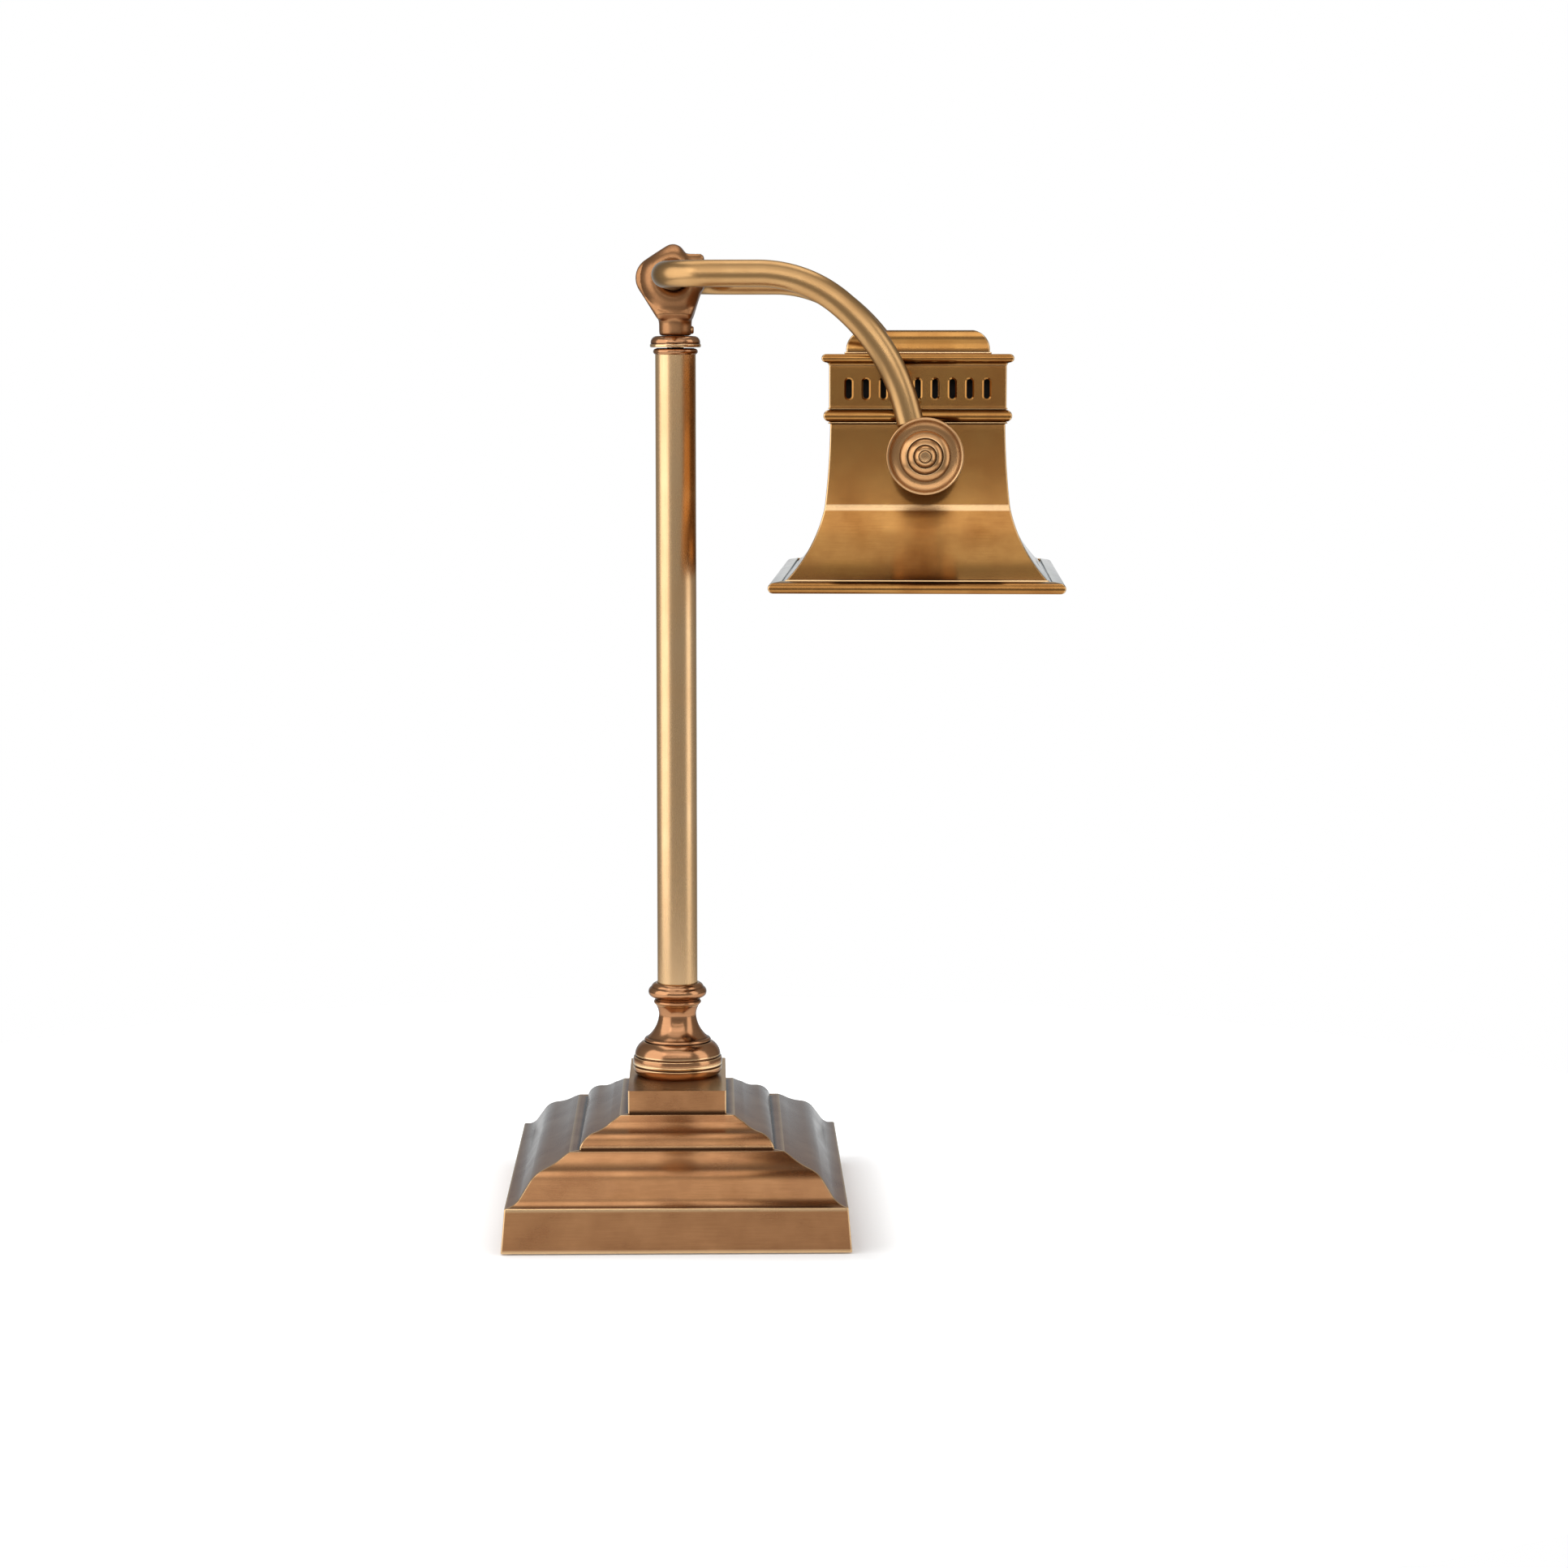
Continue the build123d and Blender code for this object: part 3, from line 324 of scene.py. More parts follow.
def piece(name, mesh, material, body, replaces=()):
    """Object of the lamp that rides on a body and stands for CAD nodes."""
    mesh.name = name
    mesh.shade_smooth()
    mesh.set_sharp_from_angle(angle=SHARP_EDGE)
    mesh.materials.clear()
    mesh.materials.append(material)
    made = bpy.data.objects.new(name, mesh)
    bpy.context.scene.collection.objects.link(made)
    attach(made, body)
    if replaces:
        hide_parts(*replaces)
    return made


def carve(made, mesh):
    """Cuts a mesh out of a piece."""
    cutter = bpy.data.objects.new("cutter", mesh)
    bpy.context.scene.collection.objects.link(cutter)
    cut = made.modifiers.new("cut", "BOOLEAN")
    cut.object, cut.solver = cutter, "EXACT"
    result = bpy.data.meshes.new_from_object(made.evaluated_get(bpy.context.evaluated_depsgraph_get()))
    made.modifiers.clear()
    result.name = made.name
    made.data = result
    result.set_sharp_from_angle(angle=CUT_EDGE)
    bpy.data.objects.remove(cutter)


def dress(finish, *names):
    """Gives CAD nodes that stay in view a finish."""
    for name in names:
        frame["nodes"][name].material_slots[0].material = finish_of(finish)


def add(tree, kind, links=(), sockets=(), **settings):
    """Node with its settings, socket values and incoming links."""
    made = tree.nodes.new(kind)
    for name, value in settings.items():
        setattr(made, name, value)
    for name, value in dict(sockets).items():
        made.inputs[name].default_value = value
    for name, source in dict(links).items():
        tree.links.new(source, made.inputs[name])
    return made


def metal(name, tone, roughness, brushed=True, patina=0.5, grain=0.5):
    """Aged metal in the light and dark colour of a tone: brushed along UV.x, or polished without direction.

    Patina is how far its patches darken it, and grain how far the brushing blurs a reflection across it."""
    finish = bpy.context.scene.lamp_finish
    light, dark = getattr(finish, f"{tone}_light"), getattr(finish, f"{tone}_dark")
    material = bpy.data.materials.new(name)
    material.use_nodes = True
    tree = material.node_tree
    tree.nodes.clear()
    spots = add(tree, "ShaderNodeTexCoord")
    cells = (1 / finish.brush_length, 1 / finish.brush_spacing, 1) if brushed else (POLISH_CELLS,) * 3
    where = add(
        tree, "ShaderNodeMapping", {"Vector": spots.outputs["UV" if brushed else "Object"]},
        {"Scale": cells},
    )
    streak = add(
        tree, "ShaderNodeTexNoise", {"Vector": where.outputs[0]},
        {"Scale": 1.0, "Detail": 4.0, "Roughness": 0.65},
    )
    cloud = add(
        tree, "ShaderNodeTexNoise", {"Vector": spots.outputs["Object"]},
        {"Scale": PATINA_CELLS, "Detail": 4.0, "Roughness": 0.55},
    )
    rub = add(tree, "ShaderNodeAttribute", attribute_name="rub")
    lines = add(
        tree, "ShaderNodeMapRange", {"Value": streak.outputs[0]},
        {"From Min": 0.3, "From Max": 0.7, "To Min": 0.38, "To Max": 0.62},
    )
    aged = add(
        tree, "ShaderNodeMapRange", {"Value": cloud.outputs[0]},
        {"From Min": 0.3, "From Max": 0.7, "To Min": -patina / 2, "To Max": patina / 2},
    )
    blend = add(tree, "ShaderNodeMath", {0: lines.outputs[0], 1: aged.outputs[0]}, operation="ADD")
    ground = add(
        tree, "ShaderNodeMix", {"Factor": blend.outputs[0]}, {"A": dark, "B": light}, data_type="RGBA"
    )
    # Outer edges and mitres are mixed towards pale metal, partly wear and partly a painted highlight; inner
    # corners and seams towards dark brown, partly old polish and partly painted shade
    worn_and_lit = add(tree, "ShaderNodeMapRange", {"Value": rub.outputs["Fac"]}, {"To Max": 0.75})
    edged = add(
        tree, "ShaderNodeMix", {"Factor": worn_and_lit.outputs[0], "A": ground.outputs["Result"]},
        {"B": finish.bare_and_highlight}, data_type="RGBA",
    )
    grime_and_shade_mask = add(
        tree, "ShaderNodeMapRange", {"Value": rub.outputs["Fac"]}, {"From Max": -1.0, "To Max": 0.8}
    )
    body = add(
        tree, "ShaderNodeMix", {"Factor": grime_and_shade_mask.outputs[0], "A": edged.outputs["Result"]},
        {"B": finish.grime_and_shade}, data_type="RGBA",
    )
    rough = add(
        tree, "ShaderNodeMapRange", {"Value": blend.outputs[0]},
        {"To Min": roughness * 1.25, "To Max": roughness * 0.75},
    )
    bump = add(
        tree, "ShaderNodeBump", {"Height": streak.outputs[0]}, {"Strength": 0.06, "Distance": 0.00003}
    )
    shader = add(
        tree, "ShaderNodeBsdfPrincipled",
        {"Base Color": body.outputs["Result"], "Roughness": rough.outputs[0], "Normal": bump.outputs[0]},
        {"Metallic": 1.0, "Specular Tint": finish.film},
    )
    if brushed:
        along = add(tree, "ShaderNodeTangent", direction_type="UV_MAP", uv_map="brush")
        tree.links.new(along.outputs[0], shader.inputs["Tangent"])
        shader.inputs["Anisotropic"].default_value = grain
        shader.inputs["Anisotropic Rotation"].default_value = 0.25
    add(tree, "ShaderNodeOutputMaterial", {"Surface": shader.outputs[0]})
    return material


def plain(name, hex_colour, roughness, cells, sockets):
    """Material with a fine grain of its own colour, of so many noise cells per metre."""
    material = bpy.data.materials.new(name)
    material.use_nodes = True
    tree = material.node_tree
    tree.nodes.clear()
    spots = add(tree, "ShaderNodeTexCoord")
    noise = add(
        tree, "ShaderNodeTexNoise", {"Vector": spots.outputs["Object"]}, {"Scale": cells, "Detail": 3.0}
    )
    full = linear(hex_colour)
    body = add(
        tree, "ShaderNodeMix", {"Factor": noise.outputs[0]},
        {"A": [c * 0.8 for c in full[:3]] + [1.0], "B": full}, data_type="RGBA",
    )
    bump = add(tree, "ShaderNodeBump", {"Height": noise.outputs[0]}, {"Strength": 0.2, "Distance": 0.0001})
    shader = add(
        tree, "ShaderNodeBsdfPrincipled", {"Base Color": body.outputs["Result"], "Normal": bump.outputs[0]},
        {"Roughness": roughness, **sockets},
    )
    add(tree, "ShaderNodeOutputMaterial", {"Surface": shader.outputs[0]})
    return material


# Aged metals: their tone in LampFinish, roughness and other settings
METALS = {
    # Drawn tube rubbed along its length: one soft bright stripe with faint long lines in it
    "burnished brass tube": ("tube", 0.27, {"patina": 0.3}),
    # The post's brass tube in darker tones, darkened as painted shade: a duller stripe with a cloudier
    # patina
    "bent brass tube": ("yoke", 0.3, {"patina": 0.4}),
    # Casting brushed along its mouldings: bands of reflection that blur into each other up and down
    "brushed bronze casting": ("base", 0.25, {"patina": 0.5, "grain": 0.75}),
    # Turned on a lathe and polished: crisp rings of light and dark
    "turned bronze": ("foot", 0.2, {"patina": 0.3, "grain": 0.2}),
    # Casting polished by hand: an even sheen without lines
    "polished bronze casting": ("base", 0.36, {"patina": 0.4, "brushed": False}),
    # Sheet brushed lengthwise: reflections drawn out up and down, under patches of darker patina
    "brushed brass sheet": ("shade", 0.165, {"patina": 0.7, "grain": 0.92}),
    # Turned on a lathe and left satin: pale rings without sharp highlights
    "turned brass knob": ("knob", 0.28, {"patina": 0.3, "grain": 0.2}),
    # Sheet spun over a former: plain satin brass
    "spun brass": ("shade", 0.25, {"brushed": False}),
}

# Other materials: colour, roughness, noise cells per metre and other sockets. Their grains of 0.7 to 2.5 mm
# are coarser than the real ones, so that they show
PLAINS = {
    # Plated over a drawn surface: pale grey metal, a little mottled
    "zinc plated steel": ("#b9bab6", 0.35, 900, {"Metallic": 1.0}),
    # Oxidised in a bath: a dull brown black; behind the vent slots it stands in as painted shade, so that
    # they read dark
    "blackened steel sheet": ("#1c1612", 0.8, 600, {}),
    # As it left the mould: dark, coarse and without shine
    "sand cast iron": ("#3c3b3a", 0.7, 500, {"Metallic": 1.0}),
    # Pressed fibres: soft and without any shine
    "pressed wool felt": ("#2c332c", 1.0, 1500, {}),
    # Moulded against polished steel: black with a soft shine
    "moulded phenolic": ("#161514", 0.38, 400, {}),
    # Paper layers gelled to a sheet: red brown and matt
    "vulcanised fibre": ("#5a3824", 0.6, 1200, {}),
    # Etched glass: milky white, with light through it but no clear view
    "frosted glass": ("#f6f3ea", 0.35, 800, {"Transmission Weight": 0.55}),
}


def finish_of(name):
    """Finish by its name, made the first time that it is asked for."""
    if name in bpy.data.materials:
        return bpy.data.materials[name]
    if name in METALS:
        tone, roughness, settings = METALS[name]
        return metal(name, tone, roughness, **settings)
    return plain(name, *PLAINS[name])


class LAMP_OT_base(bpy.types.Operator):
    """Moulded base with its weight, cover plate, felt and cord bushing"""
    bl_idname = "lamp.base"
    bl_label = "Base"

    def execute(self, context):
        form = context.scene.lamp_form
        outline = trace([
            (54.0, 3.2), (54.0, 0.6), (57.0, 0.6), (55.3, 20.9), (54.9, 21.1), (48.6, 24.5, 0.8),
            (44.2, 31.2), (38.0, 35.6, -0.66), (30.5, 39.0, 0.3), (26.6, 41.3, -0.1), (22.0, 41.3),
            (22.0, 42.3), (15.9, 48.0, -1.1), (8.4, 51.2, 0.6), (3.8, 53.8, 0.1), (0.0, 53.8), (0.0, 64.5),
        ])
        mesh = moulded(outline, BLOCK_HALF, STAND_AXES, form.edge_round / MM, form.corner_round / MM)
        made = piece(
            "base_moulding", mesh, finish_of("brushed bronze casting"), "stand", ["base_casting"]
        )
        hole = trace([(0.0, -8.0), (4.9, -8.0), (4.9, 8.0), (0.0, 8.0)])
        carve(made, turned(hole, INLET_AXES, 0.1, 48))
        dress("sand cast iron", "base_weight")
        dress("zinc plated steel", "base_plate", "post_rod", "rod_nut", "rod_washer")
        dress("pressed wool felt", "base_felt")
        dress("moulded phenolic", "cord_bushing")
        return {"FINISHED"}


class LAMP_OT_foot(bpy.types.Operator):
    """Turned drum, vase and cup under the post"""
    bl_idname = "lamp.foot"
    bl_label = "Foot"

    def execute(self, context):
        edge = context.scene.lamp_form.edge_round / MM
        bronze = finish_of("turned bronze")
        drum = trace([
            (4.0, 64.5), (18.8, 64.5), (21.2, 69.0, -0.6), (20.5, 69.3), (20.5, 69.7), (21.2, 70.0),
            (21.3, 71.2), (4.0, 71.2),
        ])
        vase = trace([
            (4.0, 71.2), (21.3, 71.2), (21.0, 73.6, -0.1), (20.2, 73.9), (20.2, 74.3), (20.5, 74.6),
            (16.2, 80.9, -1.0), (15.4, 81.0), (15.4, 81.3), (15.8, 82.0, -0.3), (14.8, 82.7, -0.2),
            (8.9, 93.9, 1.4), (10.6, 98.9, 0.35), (4.0, 98.9),
        ])
        cup = trace([
            (4.0, 98.9), (10.6, 98.9), (10.6, 100.9, -0.7), (12.5, 102.4, 0.35), (12.5, 107.2, -1.4),
            (10.4, 109.2, -0.35), (9.58, 109.2), (9.58, 104.0), (4.0, 104.0),
        ])
        for name, outline, node in (
            ("drum_turning", drum, "foot_drum"),
            ("vase_turning", vase, "foot_vase"),
            ("cup_turning", cup, "cup_collar"),
        ):
            piece(name, turned(outline, STAND_AXES, edge * 0.6), bronze, "stand", [node])
        return {"FINISHED"}


class LAMP_OT_post(bpy.types.Operator):
    """Post tube with the cap on its top"""
    bl_idname = "lamp.post"
    bl_label = "Post"

    def execute(self, context):
        radius = 9.525  # of 3/4 inch lamp tube
        tube = piped([UP * z * MM for z in (104.0, 205.0, 306.0, 406.9)], radius, 96)
        piece("tube_length", tube, finish_of("burnished brass tube"), "stand", ["post_tube"])
        bead = turned(trace([
            (0.0, 406.9), (9.5, 406.9), (9.8, 407.2), (9.8, 409.6, -0.7), (8.6, 410.0), (0.0, 410.0),
        ]), STAND_AXES, 0.1)
        piece("cap_bead", bead, finish_of("turned bronze"), "stand", ["post_cap"])
        dress("spun brass", "tube_plug")
        return {"FINISHED"}


class LAMP_OT_knuckle(bpy.types.Operator):
    """Knuckle that swivels on the post and holds the yoke"""
    bl_idname = "lamp.knuckle"
    bl_label = "Knuckle"

    def execute(self, context):
        bronze = finish_of("polished bronze casting")
        # A fine remesh and smoothing soften the solid's edges as hand polishing does
        rough = bpy.data.objects.new("rough", frame["nodes"]["knuckle"].data.copy())
        context.scene.collection.objects.link(rough)
        remesh = rough.modifiers.new("remesh", "REMESH")
        remesh.mode = "VOXEL"
        remesh.voxel_size = 0.45 * MM
        smooth = rough.modifiers.new("smooth", "SMOOTH")
        smooth.iterations = 70
        smooth.factor = 0.5
        graph = context.evaluated_depsgraph_get()
        mesh = bpy.data.meshes.new_from_object(rough.evaluated_get(graph))
        bpy.data.objects.remove(rough)
        self.round_cheeks(mesh)
        piece("knuckle_casting", mesh, bronze, "head", ["knuckle"])
        collar = trace([
            (5.1, 410.3), (11.6, 410.3), (12.0, 410.7), (12.0, 411.6), (11.6, 412.0), (8.2, 415.6, -1.3),
            (5.1, 415.6),
        ])
        piece(
            "collar_turning", turned(collar, STAND_AXES, 0.15), finish_of("turned bronze"), "head",
            ["knuckle_collar"],
        )
        grub = trace([
            (0.0, 6.4), (1.8, 6.4), (1.8, 8.0), (1.2, 8.6, -0.1), (0.5, 8.6), (0.5, 8.1), (0.0, 8.1),
        ])
        neck = axes(ACROSS, UP, AHEAD, UP * 418.4 * MM)
        piece("neck_screw", turned(grub, neck, 0.1, 32), bronze, "head")
        dress("zinc plated steel", "swivel_stud", "swivel_nut", "pinch_screw")
        return {"FINISHED"}

    def round_cheeks(self, mesh):
        """Thins the casting towards its outline, so that its flat cheeks swell round the eye."""
        full, falloff = 9.5, 6.5  # mm from the eye that keep their width, mm from there to the rim
        below, rise = 17.0, 8.0  # mm under the eye where the thinning starts, mm over which it grows
        thinning = 0.5  # share of the width that the rim loses
        inward = HEAD_AXES.inverted()
        for vert in mesh.vertices:
            spot = inward @ vert.co
            off = Vector((spot.x, spot.z - EYE.z)).length / MM
            above = min(1.0, max(0.0, ((spot.z - EYE.z) / MM + below) / rise))
            spot.y *= 1 - thinning * above * min(1.0, abs(off - full) / falloff) ** 2
            vert.co = HEAD_AXES @ spot


class LAMP_OT_yoke(bpy.types.Operator):
    """Bent tube of the yoke with a turned boss on each arm"""
    bl_idname = "lamp.yoke"
    bl_label = "Yoke"

    def execute(self, context):
        half_span, radius, bends = 91.8, 6.0, (88, 57, 24)
        arm = [(110.8, 377.0), (102.0, 409.8), (64.6, 442.5), (0.0, 442.5)]
        near = [HEAD_AXES @ (Vector((x, -half_span, z)) * MM) for x, z in arm]
        far = [HEAD_AXES @ (Vector((x, half_span, z)) * MM) for x, z in reversed(arm)]
        path = bent(near + far, [r * MM for r in (*bends, *reversed(bends))])
        piece("yoke_bend", piped(path, radius), finish_of("bent brass tube"), "yoke", ["yoke_tube"])
        edge = context.scene.lamp_form.edge_round / MM
        for side, place in PIVOT_AXES.items():
            outline = trace([
                (4.05, 80.9), (10.0, 80.9), (10.0, 85.3), (15.6, 85.3), (16.5, 86.2, -0.2), (16.5, 97.4),
                (15.6, 98.3, -0.2), (4.05, 98.3),
            ])
            piece(
                f"{side}_boss_turning", turned(outline, place, edge), finish_of("polished bronze casting"),
                "yoke", [f"{side}_boss"],
            )
        return {"FINISHED"}


class LAMP_OT_knobs(bpy.types.Operator):
    """Turned knobs that clamp the shade between the arms"""
    bl_idname = "lamp.knobs"
    bl_label = "Knobs"

    def execute(self, context):
        edge = context.scene.lamp_form.edge_round / MM
        for side, place in PIVOT_AXES.items():
            outline = trace([
                (0.0, 98.6), (16.7, 98.6), (17.1, 99.0), (17.1, 102.3), (16.6, 102.9, -0.2), (15.9, 102.5),
                (11.5, 101.0, 0.5), (11.2, 101.0), (11.2, 102.2), (8.2, 104.4, -0.3), (7.9, 103.9),
                (7.5, 103.9), (7.5, 104.8), (5.3, 106.6, -0.25), (5.1, 106.1), (4.7, 106.1), (4.7, 107.1),
                (3.1, 108.9, -0.2), (2.7, 108.9), (2.5, 110.0), (2.1, 110.5, -0.12), (0.0, 110.2),
            ])
            piece(
                f"{side}_knob_turning", turned(outline, place, edge * 0.4), finish_of("turned brass knob"),
                f"{side}_knob", [f"{side}_knob"],
            )
        return {"FINISHED"}


class LAMP_OT_shade(bpy.types.Operator):
    """Shade: bell, slotted gallery, cornice and dome"""
    bl_idname = "lamp.shade"
    bl_label = "Shade"

    def execute(self, context):
        form = context.scene.lamp_form
        edge, corner = form.edge_round / MM, form.corner_round / MM
        brass = finish_of("brushed brass sheet")
        bell = trace([
            (64.0, 301.2), (64.0, 306.0, -2.1), (60.2, 306.7), (60.0, 305.7), (59.0, 305.7), (58.7, 307.0),
            (57.8, 307.2), (41.95, 337.0, 2.2), (41.78, 337.6), (41.45, 339.6), (41.38, 340.2),
            (39.2, 376.0, 0.45), (38.0, 376.0), (40.1, 340.2, -0.45), (40.7, 337.0), (56.9, 305.3, -2.2),
            (62.8, 304.6), (62.6, 302.4),
        ])
        # The crease over the flare gets a painted highlight, and the seam under the gallery a painted shadow
        bands = [(337.3, 339.9, 0.65), (375.0, 377.0, -0.9)]
        mesh = moulded(bell, SHADE_HALF, SHADE_AXES, edge, corner, True, bands)
        piece("bell_sheet", mesh, brass, "shade", ["shade_bell"])
        gallery = trace([
            (38.0, 376.0), (40.1, 376.0), (40.1, 376.6), (39.5, 376.6), (39.6, 376.9), (39.6, 382.1, -2.6),
            (39.5, 382.4), (40.1, 382.4), (40.1, 383.0), (39.7, 383.0), (39.7, 402.0), (38.0, 402.0),
        ])
        # Painted shadow in the seams under the bead, over it and under the cornice
        bands = [(375.0, 376.3, -0.9), (382.6, 383.6, -0.6), (401.0, 403.0, -0.9)]
        mesh = moulded(gallery, SHADE_HALF, SHADE_AXES, edge * 0.5, corner, True, bands)
        made = piece("gallery_sheet", mesh, brass, "shade", ["vent_gallery"])
        carve(made, self.slot_cutter(form))
        # Guessed blackened baffle behind the vent slots: its black is painted shade that keeps the slots
        # dark
        baffle = trace([(32.0, 380.0), (33.0, 380.0), (33.0, 405.0), (32.0, 405.0)])
        mesh = moulded(baffle, SHADE_HALF, SHADE_AXES, 0.1, corner, wrap=True)
        piece("vent_baffle", mesh, finish_of("blackened steel sheet"), "shade")
        cornice = trace([
            (10.0, 405.0), (37.7, 405.0), (37.7, 402.0), (39.9, 402.0), (40.9, 403.1, 0.3), (41.2, 403.2),
            (41.2, 407.0, -1.8), (10.0, 407.0),
        ])
        dome = trace([
            (10.0, 407.0), (33.0, 407.0), (33.0, 407.9), (32.2, 407.9), (25.0, 417.7, -2.4),
        ])
        for name, outline, node in (("cornice_plate", cornice, "cap_plate"), ("dome_top", dome, "cap_dome")):
            mesh = moulded(outline, SHADE_HALF, SHADE_AXES, edge, corner)
            piece(name, mesh, brass, "shade", [node])
        dress("zinc plated steel", "near_pivot_stud", "far_pivot_stud", "near_pivot_nut", "far_pivot_nut")
        dress("vulcanised fibre", "near_friction_washer", "far_friction_washer")
        return {"FINISHED"}

    def slot_cutter(self, form):
        """Rods with dished ends that cut a row of vent slots through each side of the gallery."""
        sides, centre_height = 24, 391.5 * MM
        # Millimetres out from the wall's face and what the rod is wider there
        sections = ((-6.0, 0.0), (-0.5, 0.0), (0.05, form.slot_bevel), (4.0, form.slot_bevel))
        shape = bmesh.new()
        straight = (form.slot_height - form.slot_width) / 2
        for out, along, half, count in (
            (AHEAD, ACROSS, 39.7, 19), (ACROSS, -AHEAD, 79.7, 9),
            (-AHEAD, -ACROSS, 39.7, 19), (-ACROSS, AHEAD, 79.7, 9),
        ):
            for n in range(count):
                centre = SHADE_AXES.translation + UP * centre_height
                centre += along * (n - (count - 1) / 2) * form.slot_pitch
                rings = []
                for depth, extra in sections:
                    radius = form.slot_width / 2 + extra
                    ring = []
                    for i in range(sides):
                        t = 2 * math.pi * (i + 0.5) / sides
                        lift = radius * math.sin(t) + math.copysign(straight, math.sin(t))
                        spot = centre + out * (half + depth) * MM + along * radius * math.cos(t)
                        ring.append(shape.verts.new(spot + UP * lift))
                    rings.append(ring)
                for lower, upper in zip(rings, rings[1:]):
                    for i in range(sides):
                        k = (i + 1) % sides
                        shape.faces.new((lower[i], lower[k], upper[k], upper[i]))
                shape.faces.new(rings[0][::-1])
                shape.faces.new(rings[-1])
        bmesh.ops.recalc_face_normals(shape, faces=shape.faces)
        mesh = bpy.data.meshes.new("slots")
        shape.to_mesh(mesh)
        shape.free()
        return mesh


class LAMP_OT_lampholder(bpy.types.Operator):
    """Lampholder with its turn key and the bulb"""
    bl_idname = "lamp.lampholder"
    bl_label = "Lampholder"

    def execute(self, context):
        dress("spun brass", "lampholder_cap", "lampholder_shell")
        dress("zinc plated steel", "holder_nipple", "nipple_nut", "bulb_cap")
        dress("moulded phenolic", "switch_key")
        dress("frosted glass", "bulb_glass")
        return {"FINISHED"}


class LAMP_OT_stage(bpy.types.Operator):
    """Pale floor, soft studio light and a camera at the photograph's angle"""
    bl_idname = "lamp.stage"
    bl_label = "Stage"

    def execute(self, context):
        scene, setup = context.scene, context.scene.lamp_stage
        scene.view_settings.view_transform = "Standard"
        self.lay_floor(scene)
        self.light_world(scene)
        for name, place, aim, size, glow in (
            ("left_softbox", (-0.75, -0.27, 0.5), (0.0, 0.0, 0.4), (0.9, 1.0), 1.8),
            ("right_softbox", (0.78, -0.22, 0.5), (0.0, 0.0, 0.4), (0.42, 1.0), 1.5),
            ("front_strip", (0.0, -1.0, 0.585), (0.0, 0.0, 0.34), (1.4, 0.06), 3.2),
            ("front_softbox", (0.0, -0.6, 0.64), (0.05, 0.0, 0.32), (1.1, 0.24), 1.45),
            ("upper_softbox", (0.0, -0.43, 0.85), (0.05, 0.0, 0.32), (1.1, 0.36), 0.85),
            ("top_softbox", (0.0, 0.32, 1.55), (0.0, 0.0, 0.2), (1.2, 0.9), 1.9),
        ):
            lamp = bpy.data.lights.new(name, "AREA")
            lamp.shape = "RECTANGLE"
            lamp.size, lamp.size_y = size
            lamp.energy = glow * size[0] * size[1] * math.pi
            holder = bpy.data.objects.new(name, lamp)
            holder.location = place
            holder.rotation_euler = (Vector(aim) - Vector(place)).to_track_quat("-Z", "Y").to_euler()
            scene.collection.objects.link(holder)
        lens = bpy.data.cameras.new("camera")
        lens.lens, lens.sensor_width = setup.lens, 36.0
        eye = bpy.data.objects.new("camera", lens)
        eye.location = (setup.aside, -setup.distance, setup.height)
        eye.rotation_euler = (math.pi / 2 - setup.pitch, 0, -setup.yaw)
        scene.collection.objects.link(eye)
        scene.camera = eye
        return {"FINISHED"}

    def shown(self, tree):
        """Node that is 1 for rays that show the background: from the camera, off metal and in glass."""
        rays = add(tree, "ShaderNodeLightPath")
        seen = add(
            tree, "ShaderNodeMath", {0: rays.outputs["Is Camera Ray"], 1: rays.outputs["Is Glossy Ray"]},
            operation="MAXIMUM",
        )
        return add(
            tree, "ShaderNodeMath", {0: seen.outputs[0], 1: rays.outputs["Is Transmission Ray"]},
            operation="MAXIMUM",
        )

    def lay_floor(self, scene):
        """Round pale floor that keeps the shadow beside the base and reads as white further out."""
        radius, sides, sunk = 0.6, 96, 0.05 * MM
        mesh = bpy.data.meshes.new("floor")
        rim = [2 * math.pi * i / sides for i in range(sides)]
        mesh.from_pydata(
            [(radius * math.cos(t), radius * math.sin(t), -sunk) for t in rim], [], [range(sides)]
        )
        # Matt white paper: no shine, only a soft shadow
        material = bpy.data.materials.new("white paper sweep")
        material.use_nodes = True
        tree = material.node_tree
        tree.nodes.clear()
        shown = self.shown(tree)
        spots = add(tree, "ShaderNodeTexCoord")
        # Distance from the base's outline, over which the floor's own glow grows
        away = add(tree, "ShaderNodeVectorMath", {0: spots.outputs["Object"]}, operation="ABSOLUTE")
        beyond = add(
            tree, "ShaderNodeVectorMath", {0: away.outputs[0]}, {1: (BASE_CORNER.x, BASE_CORNER.y, 0.0)},
            operation="SUBTRACT",
        )
        parts = add(tree, "ShaderNodeSeparateXYZ", {0: beyond.outputs[0]})
        apart = add(
            tree, "ShaderNodeMath", {0: parts.outputs["X"], 1: parts.outputs["Y"]}, operation="MAXIMUM"
        )
        fade = add(
            tree, "ShaderNodeMapRange", {"Value": apart.outputs[0]},
            {"From Min": 0.0, "From Max": 0.045, "To Min": 0.11, "To Max": 0.5},
            interpolation_type="SMOOTHSTEP",
        )
        level = add(tree, "ShaderNodeMath", {0: shown.outputs[0], 1: fade.outputs[0]}, operation="MULTIPLY")
        paper = add(tree, "ShaderNodeBsdfDiffuse", sockets={"Color": linear("#e8e8e8")})
        glow = add(tree, "ShaderNodeEmission", {"Strength": level.outputs[0]})
        both = add(tree, "ShaderNodeAddShader", {0: paper.outputs[0], 1: glow.outputs[0]})
        add(tree, "ShaderNodeOutputMaterial", {"Surface": both.outputs[0]})
        mesh.materials.append(material)
        floor = bpy.data.objects.new("floor", mesh)
        scene.collection.objects.link(floor)

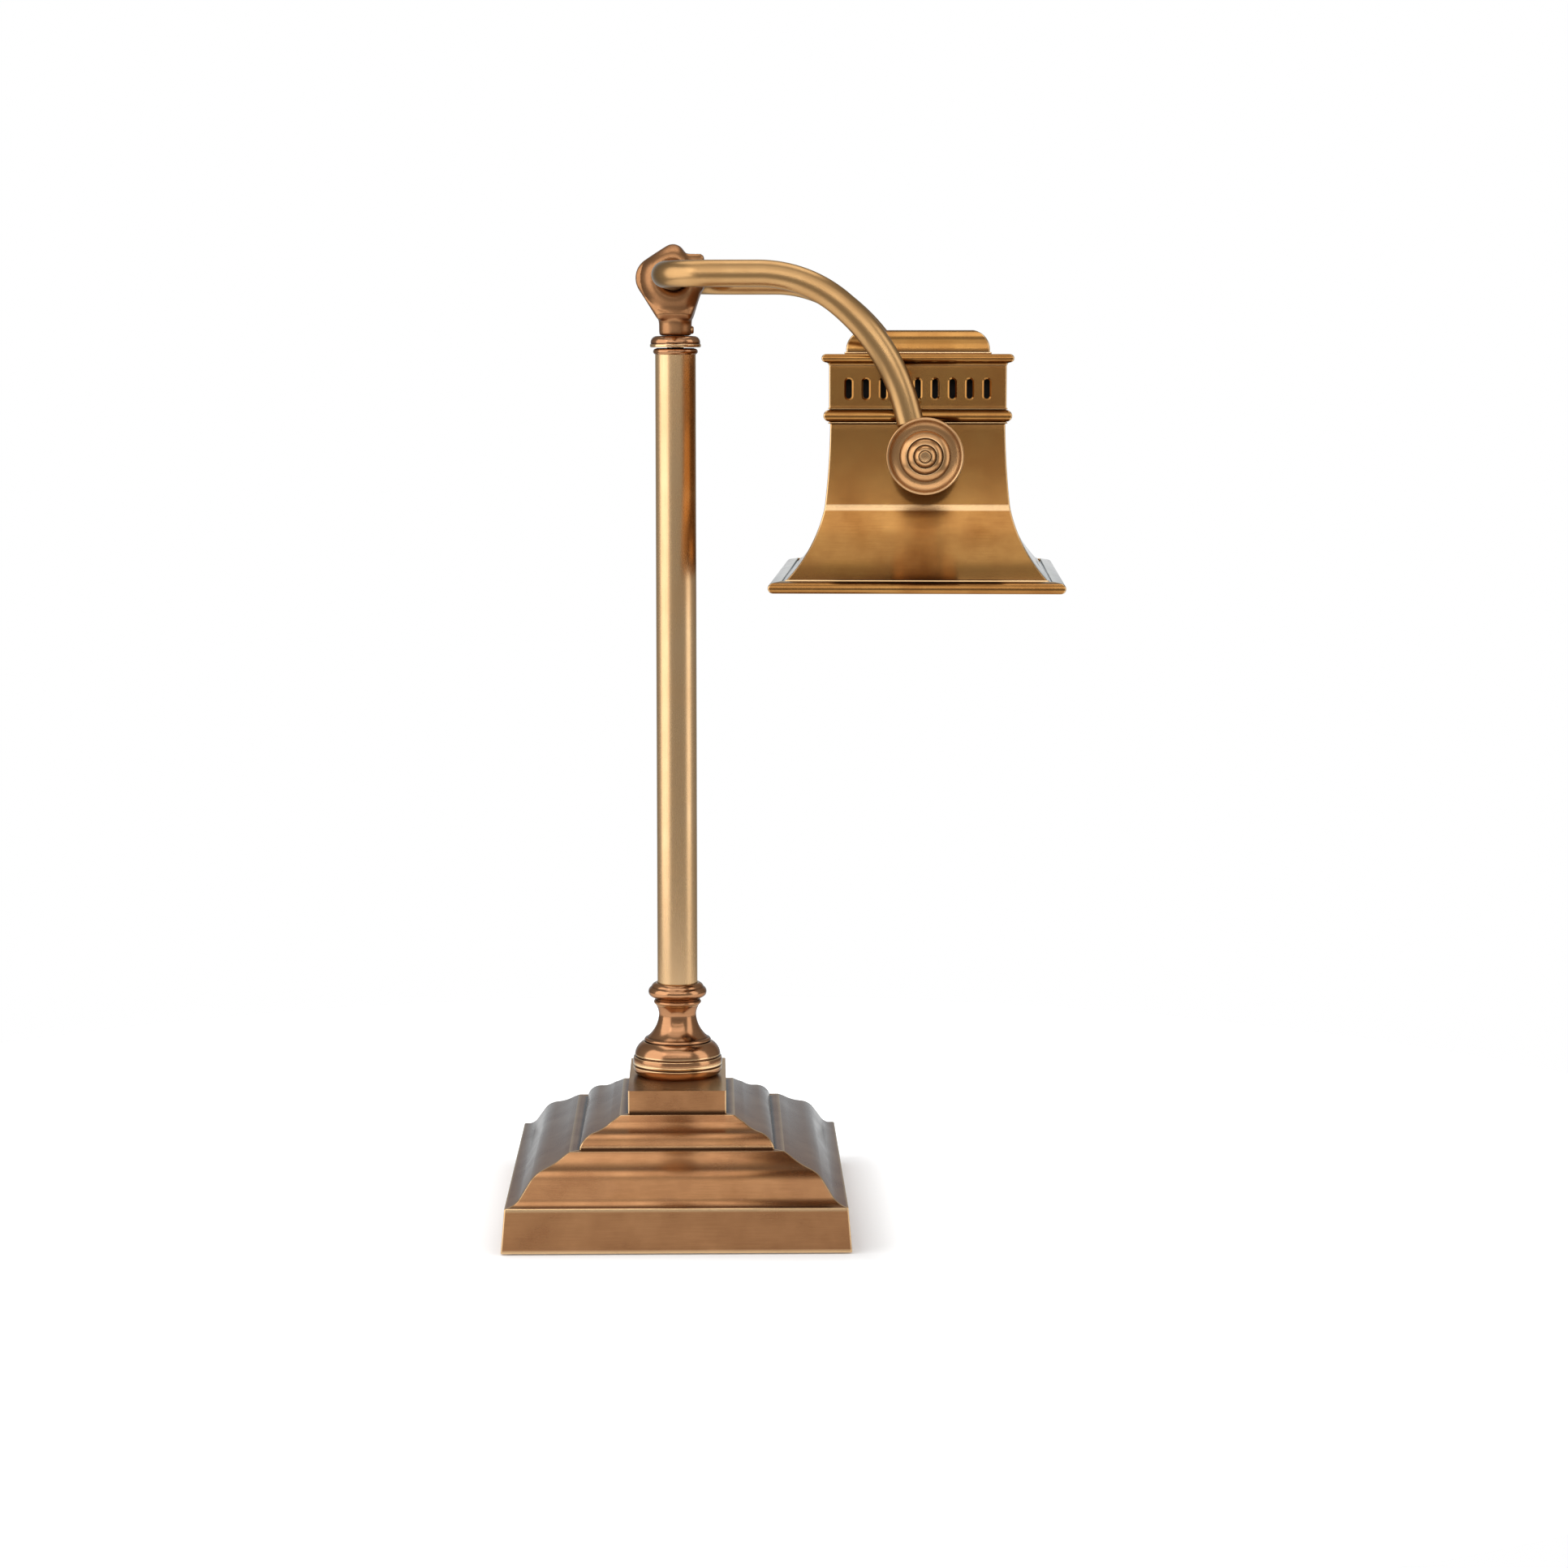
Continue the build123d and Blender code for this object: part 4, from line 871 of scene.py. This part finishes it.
    def light_world(self, scene):
        """White sweep behind the lamp that metal and glass show too, and a dimmer room in front."""
        room_level, fill_level = 0.4, 0.55  # of white: what metal shows of the room, and the light it gives
        world = bpy.data.worlds.new("studio")
        world.use_nodes = True
        scene.world = world
        tree = world.node_tree
        tree.nodes.clear()
        shown = self.shown(tree)
        rays = add(tree, "ShaderNodeLightPath")
        spots = add(tree, "ShaderNodeTexCoord")
        parts = add(tree, "ShaderNodeSeparateXYZ", {0: spots.outputs["Generated"]})
        # How far a ray points at the sweep, which the camera sees all round
        depth = add(
            tree, "ShaderNodeMapRange", {"Value": parts.outputs["Y"]}, {"From Min": 0.78, "From Max": 0.94},
            interpolation_type="SMOOTHSTEP",
        )
        behind = add(
            tree, "ShaderNodeMath", {0: depth.outputs[0], 1: rays.outputs["Is Camera Ray"]},
            operation="MAXIMUM",
        )
        room = add(
            tree, "ShaderNodeMath", {0: behind.outputs[0]}, {1: 1.0 - room_level, 2: room_level},
            operation="MULTIPLY_ADD",
        )
        level = add(
            tree, "ShaderNodeMix", {"Factor": shown.outputs[0], "B": room.outputs[0]}, {"A": fill_level},
            data_type="FLOAT",
        )
        back = add(tree, "ShaderNodeBackground", {"Strength": level.outputs[0]}, {"Color": (1, 1, 1, 1)})
        add(tree, "ShaderNodeOutputWorld", {"Surface": back.outputs[0]})


OPERATORS = (
    LAMP_OT_base, LAMP_OT_foot, LAMP_OT_post, LAMP_OT_knuckle, LAMP_OT_yoke, LAMP_OT_knobs, LAMP_OT_shade,
    LAMP_OT_lampholder, LAMP_OT_stage,
)


class LAMP_PT_panel(bpy.types.Panel):
    bl_label = "Brass desk lamp"
    bl_space_type = "VIEW_3D"
    bl_region_type = "UI"
    bl_category = "Lamp"

    def draw(self, context):
        for group in (context.scene.lamp_form, context.scene.lamp_finish, context.scene.lamp_stage):
            column = self.layout.column()
            for name in group.__annotations__:
                column.prop(group, name)
        for operator in OPERATORS:
            self.layout.operator(operator.bl_idname)


CLASSES = (LampForm, LampFinish, LampStage, *OPERATORS, LAMP_PT_panel)


def register():
    for item in CLASSES:
        bpy.utils.register_class(item)
    bpy.types.Scene.lamp_form = PointerProperty(type=LampForm)
    bpy.types.Scene.lamp_finish = PointerProperty(type=LampFinish)
    bpy.types.Scene.lamp_stage = PointerProperty(type=LampStage)


def unregister():
    del bpy.types.Scene.lamp_stage, bpy.types.Scene.lamp_finish, bpy.types.Scene.lamp_form
    for item in reversed(CLASSES):
        bpy.utils.unregister_class(item)


def main():
    register()
    bpy.ops.lamp.base()
    bpy.ops.lamp.foot()
    bpy.ops.lamp.post()
    bpy.ops.lamp.knuckle()
    bpy.ops.lamp.yoke()
    bpy.ops.lamp.knobs()
    bpy.ops.lamp.shade()
    bpy.ops.lamp.lampholder()
    bpy.ops.lamp.stage()


if __name__ == "__main__":
    main()
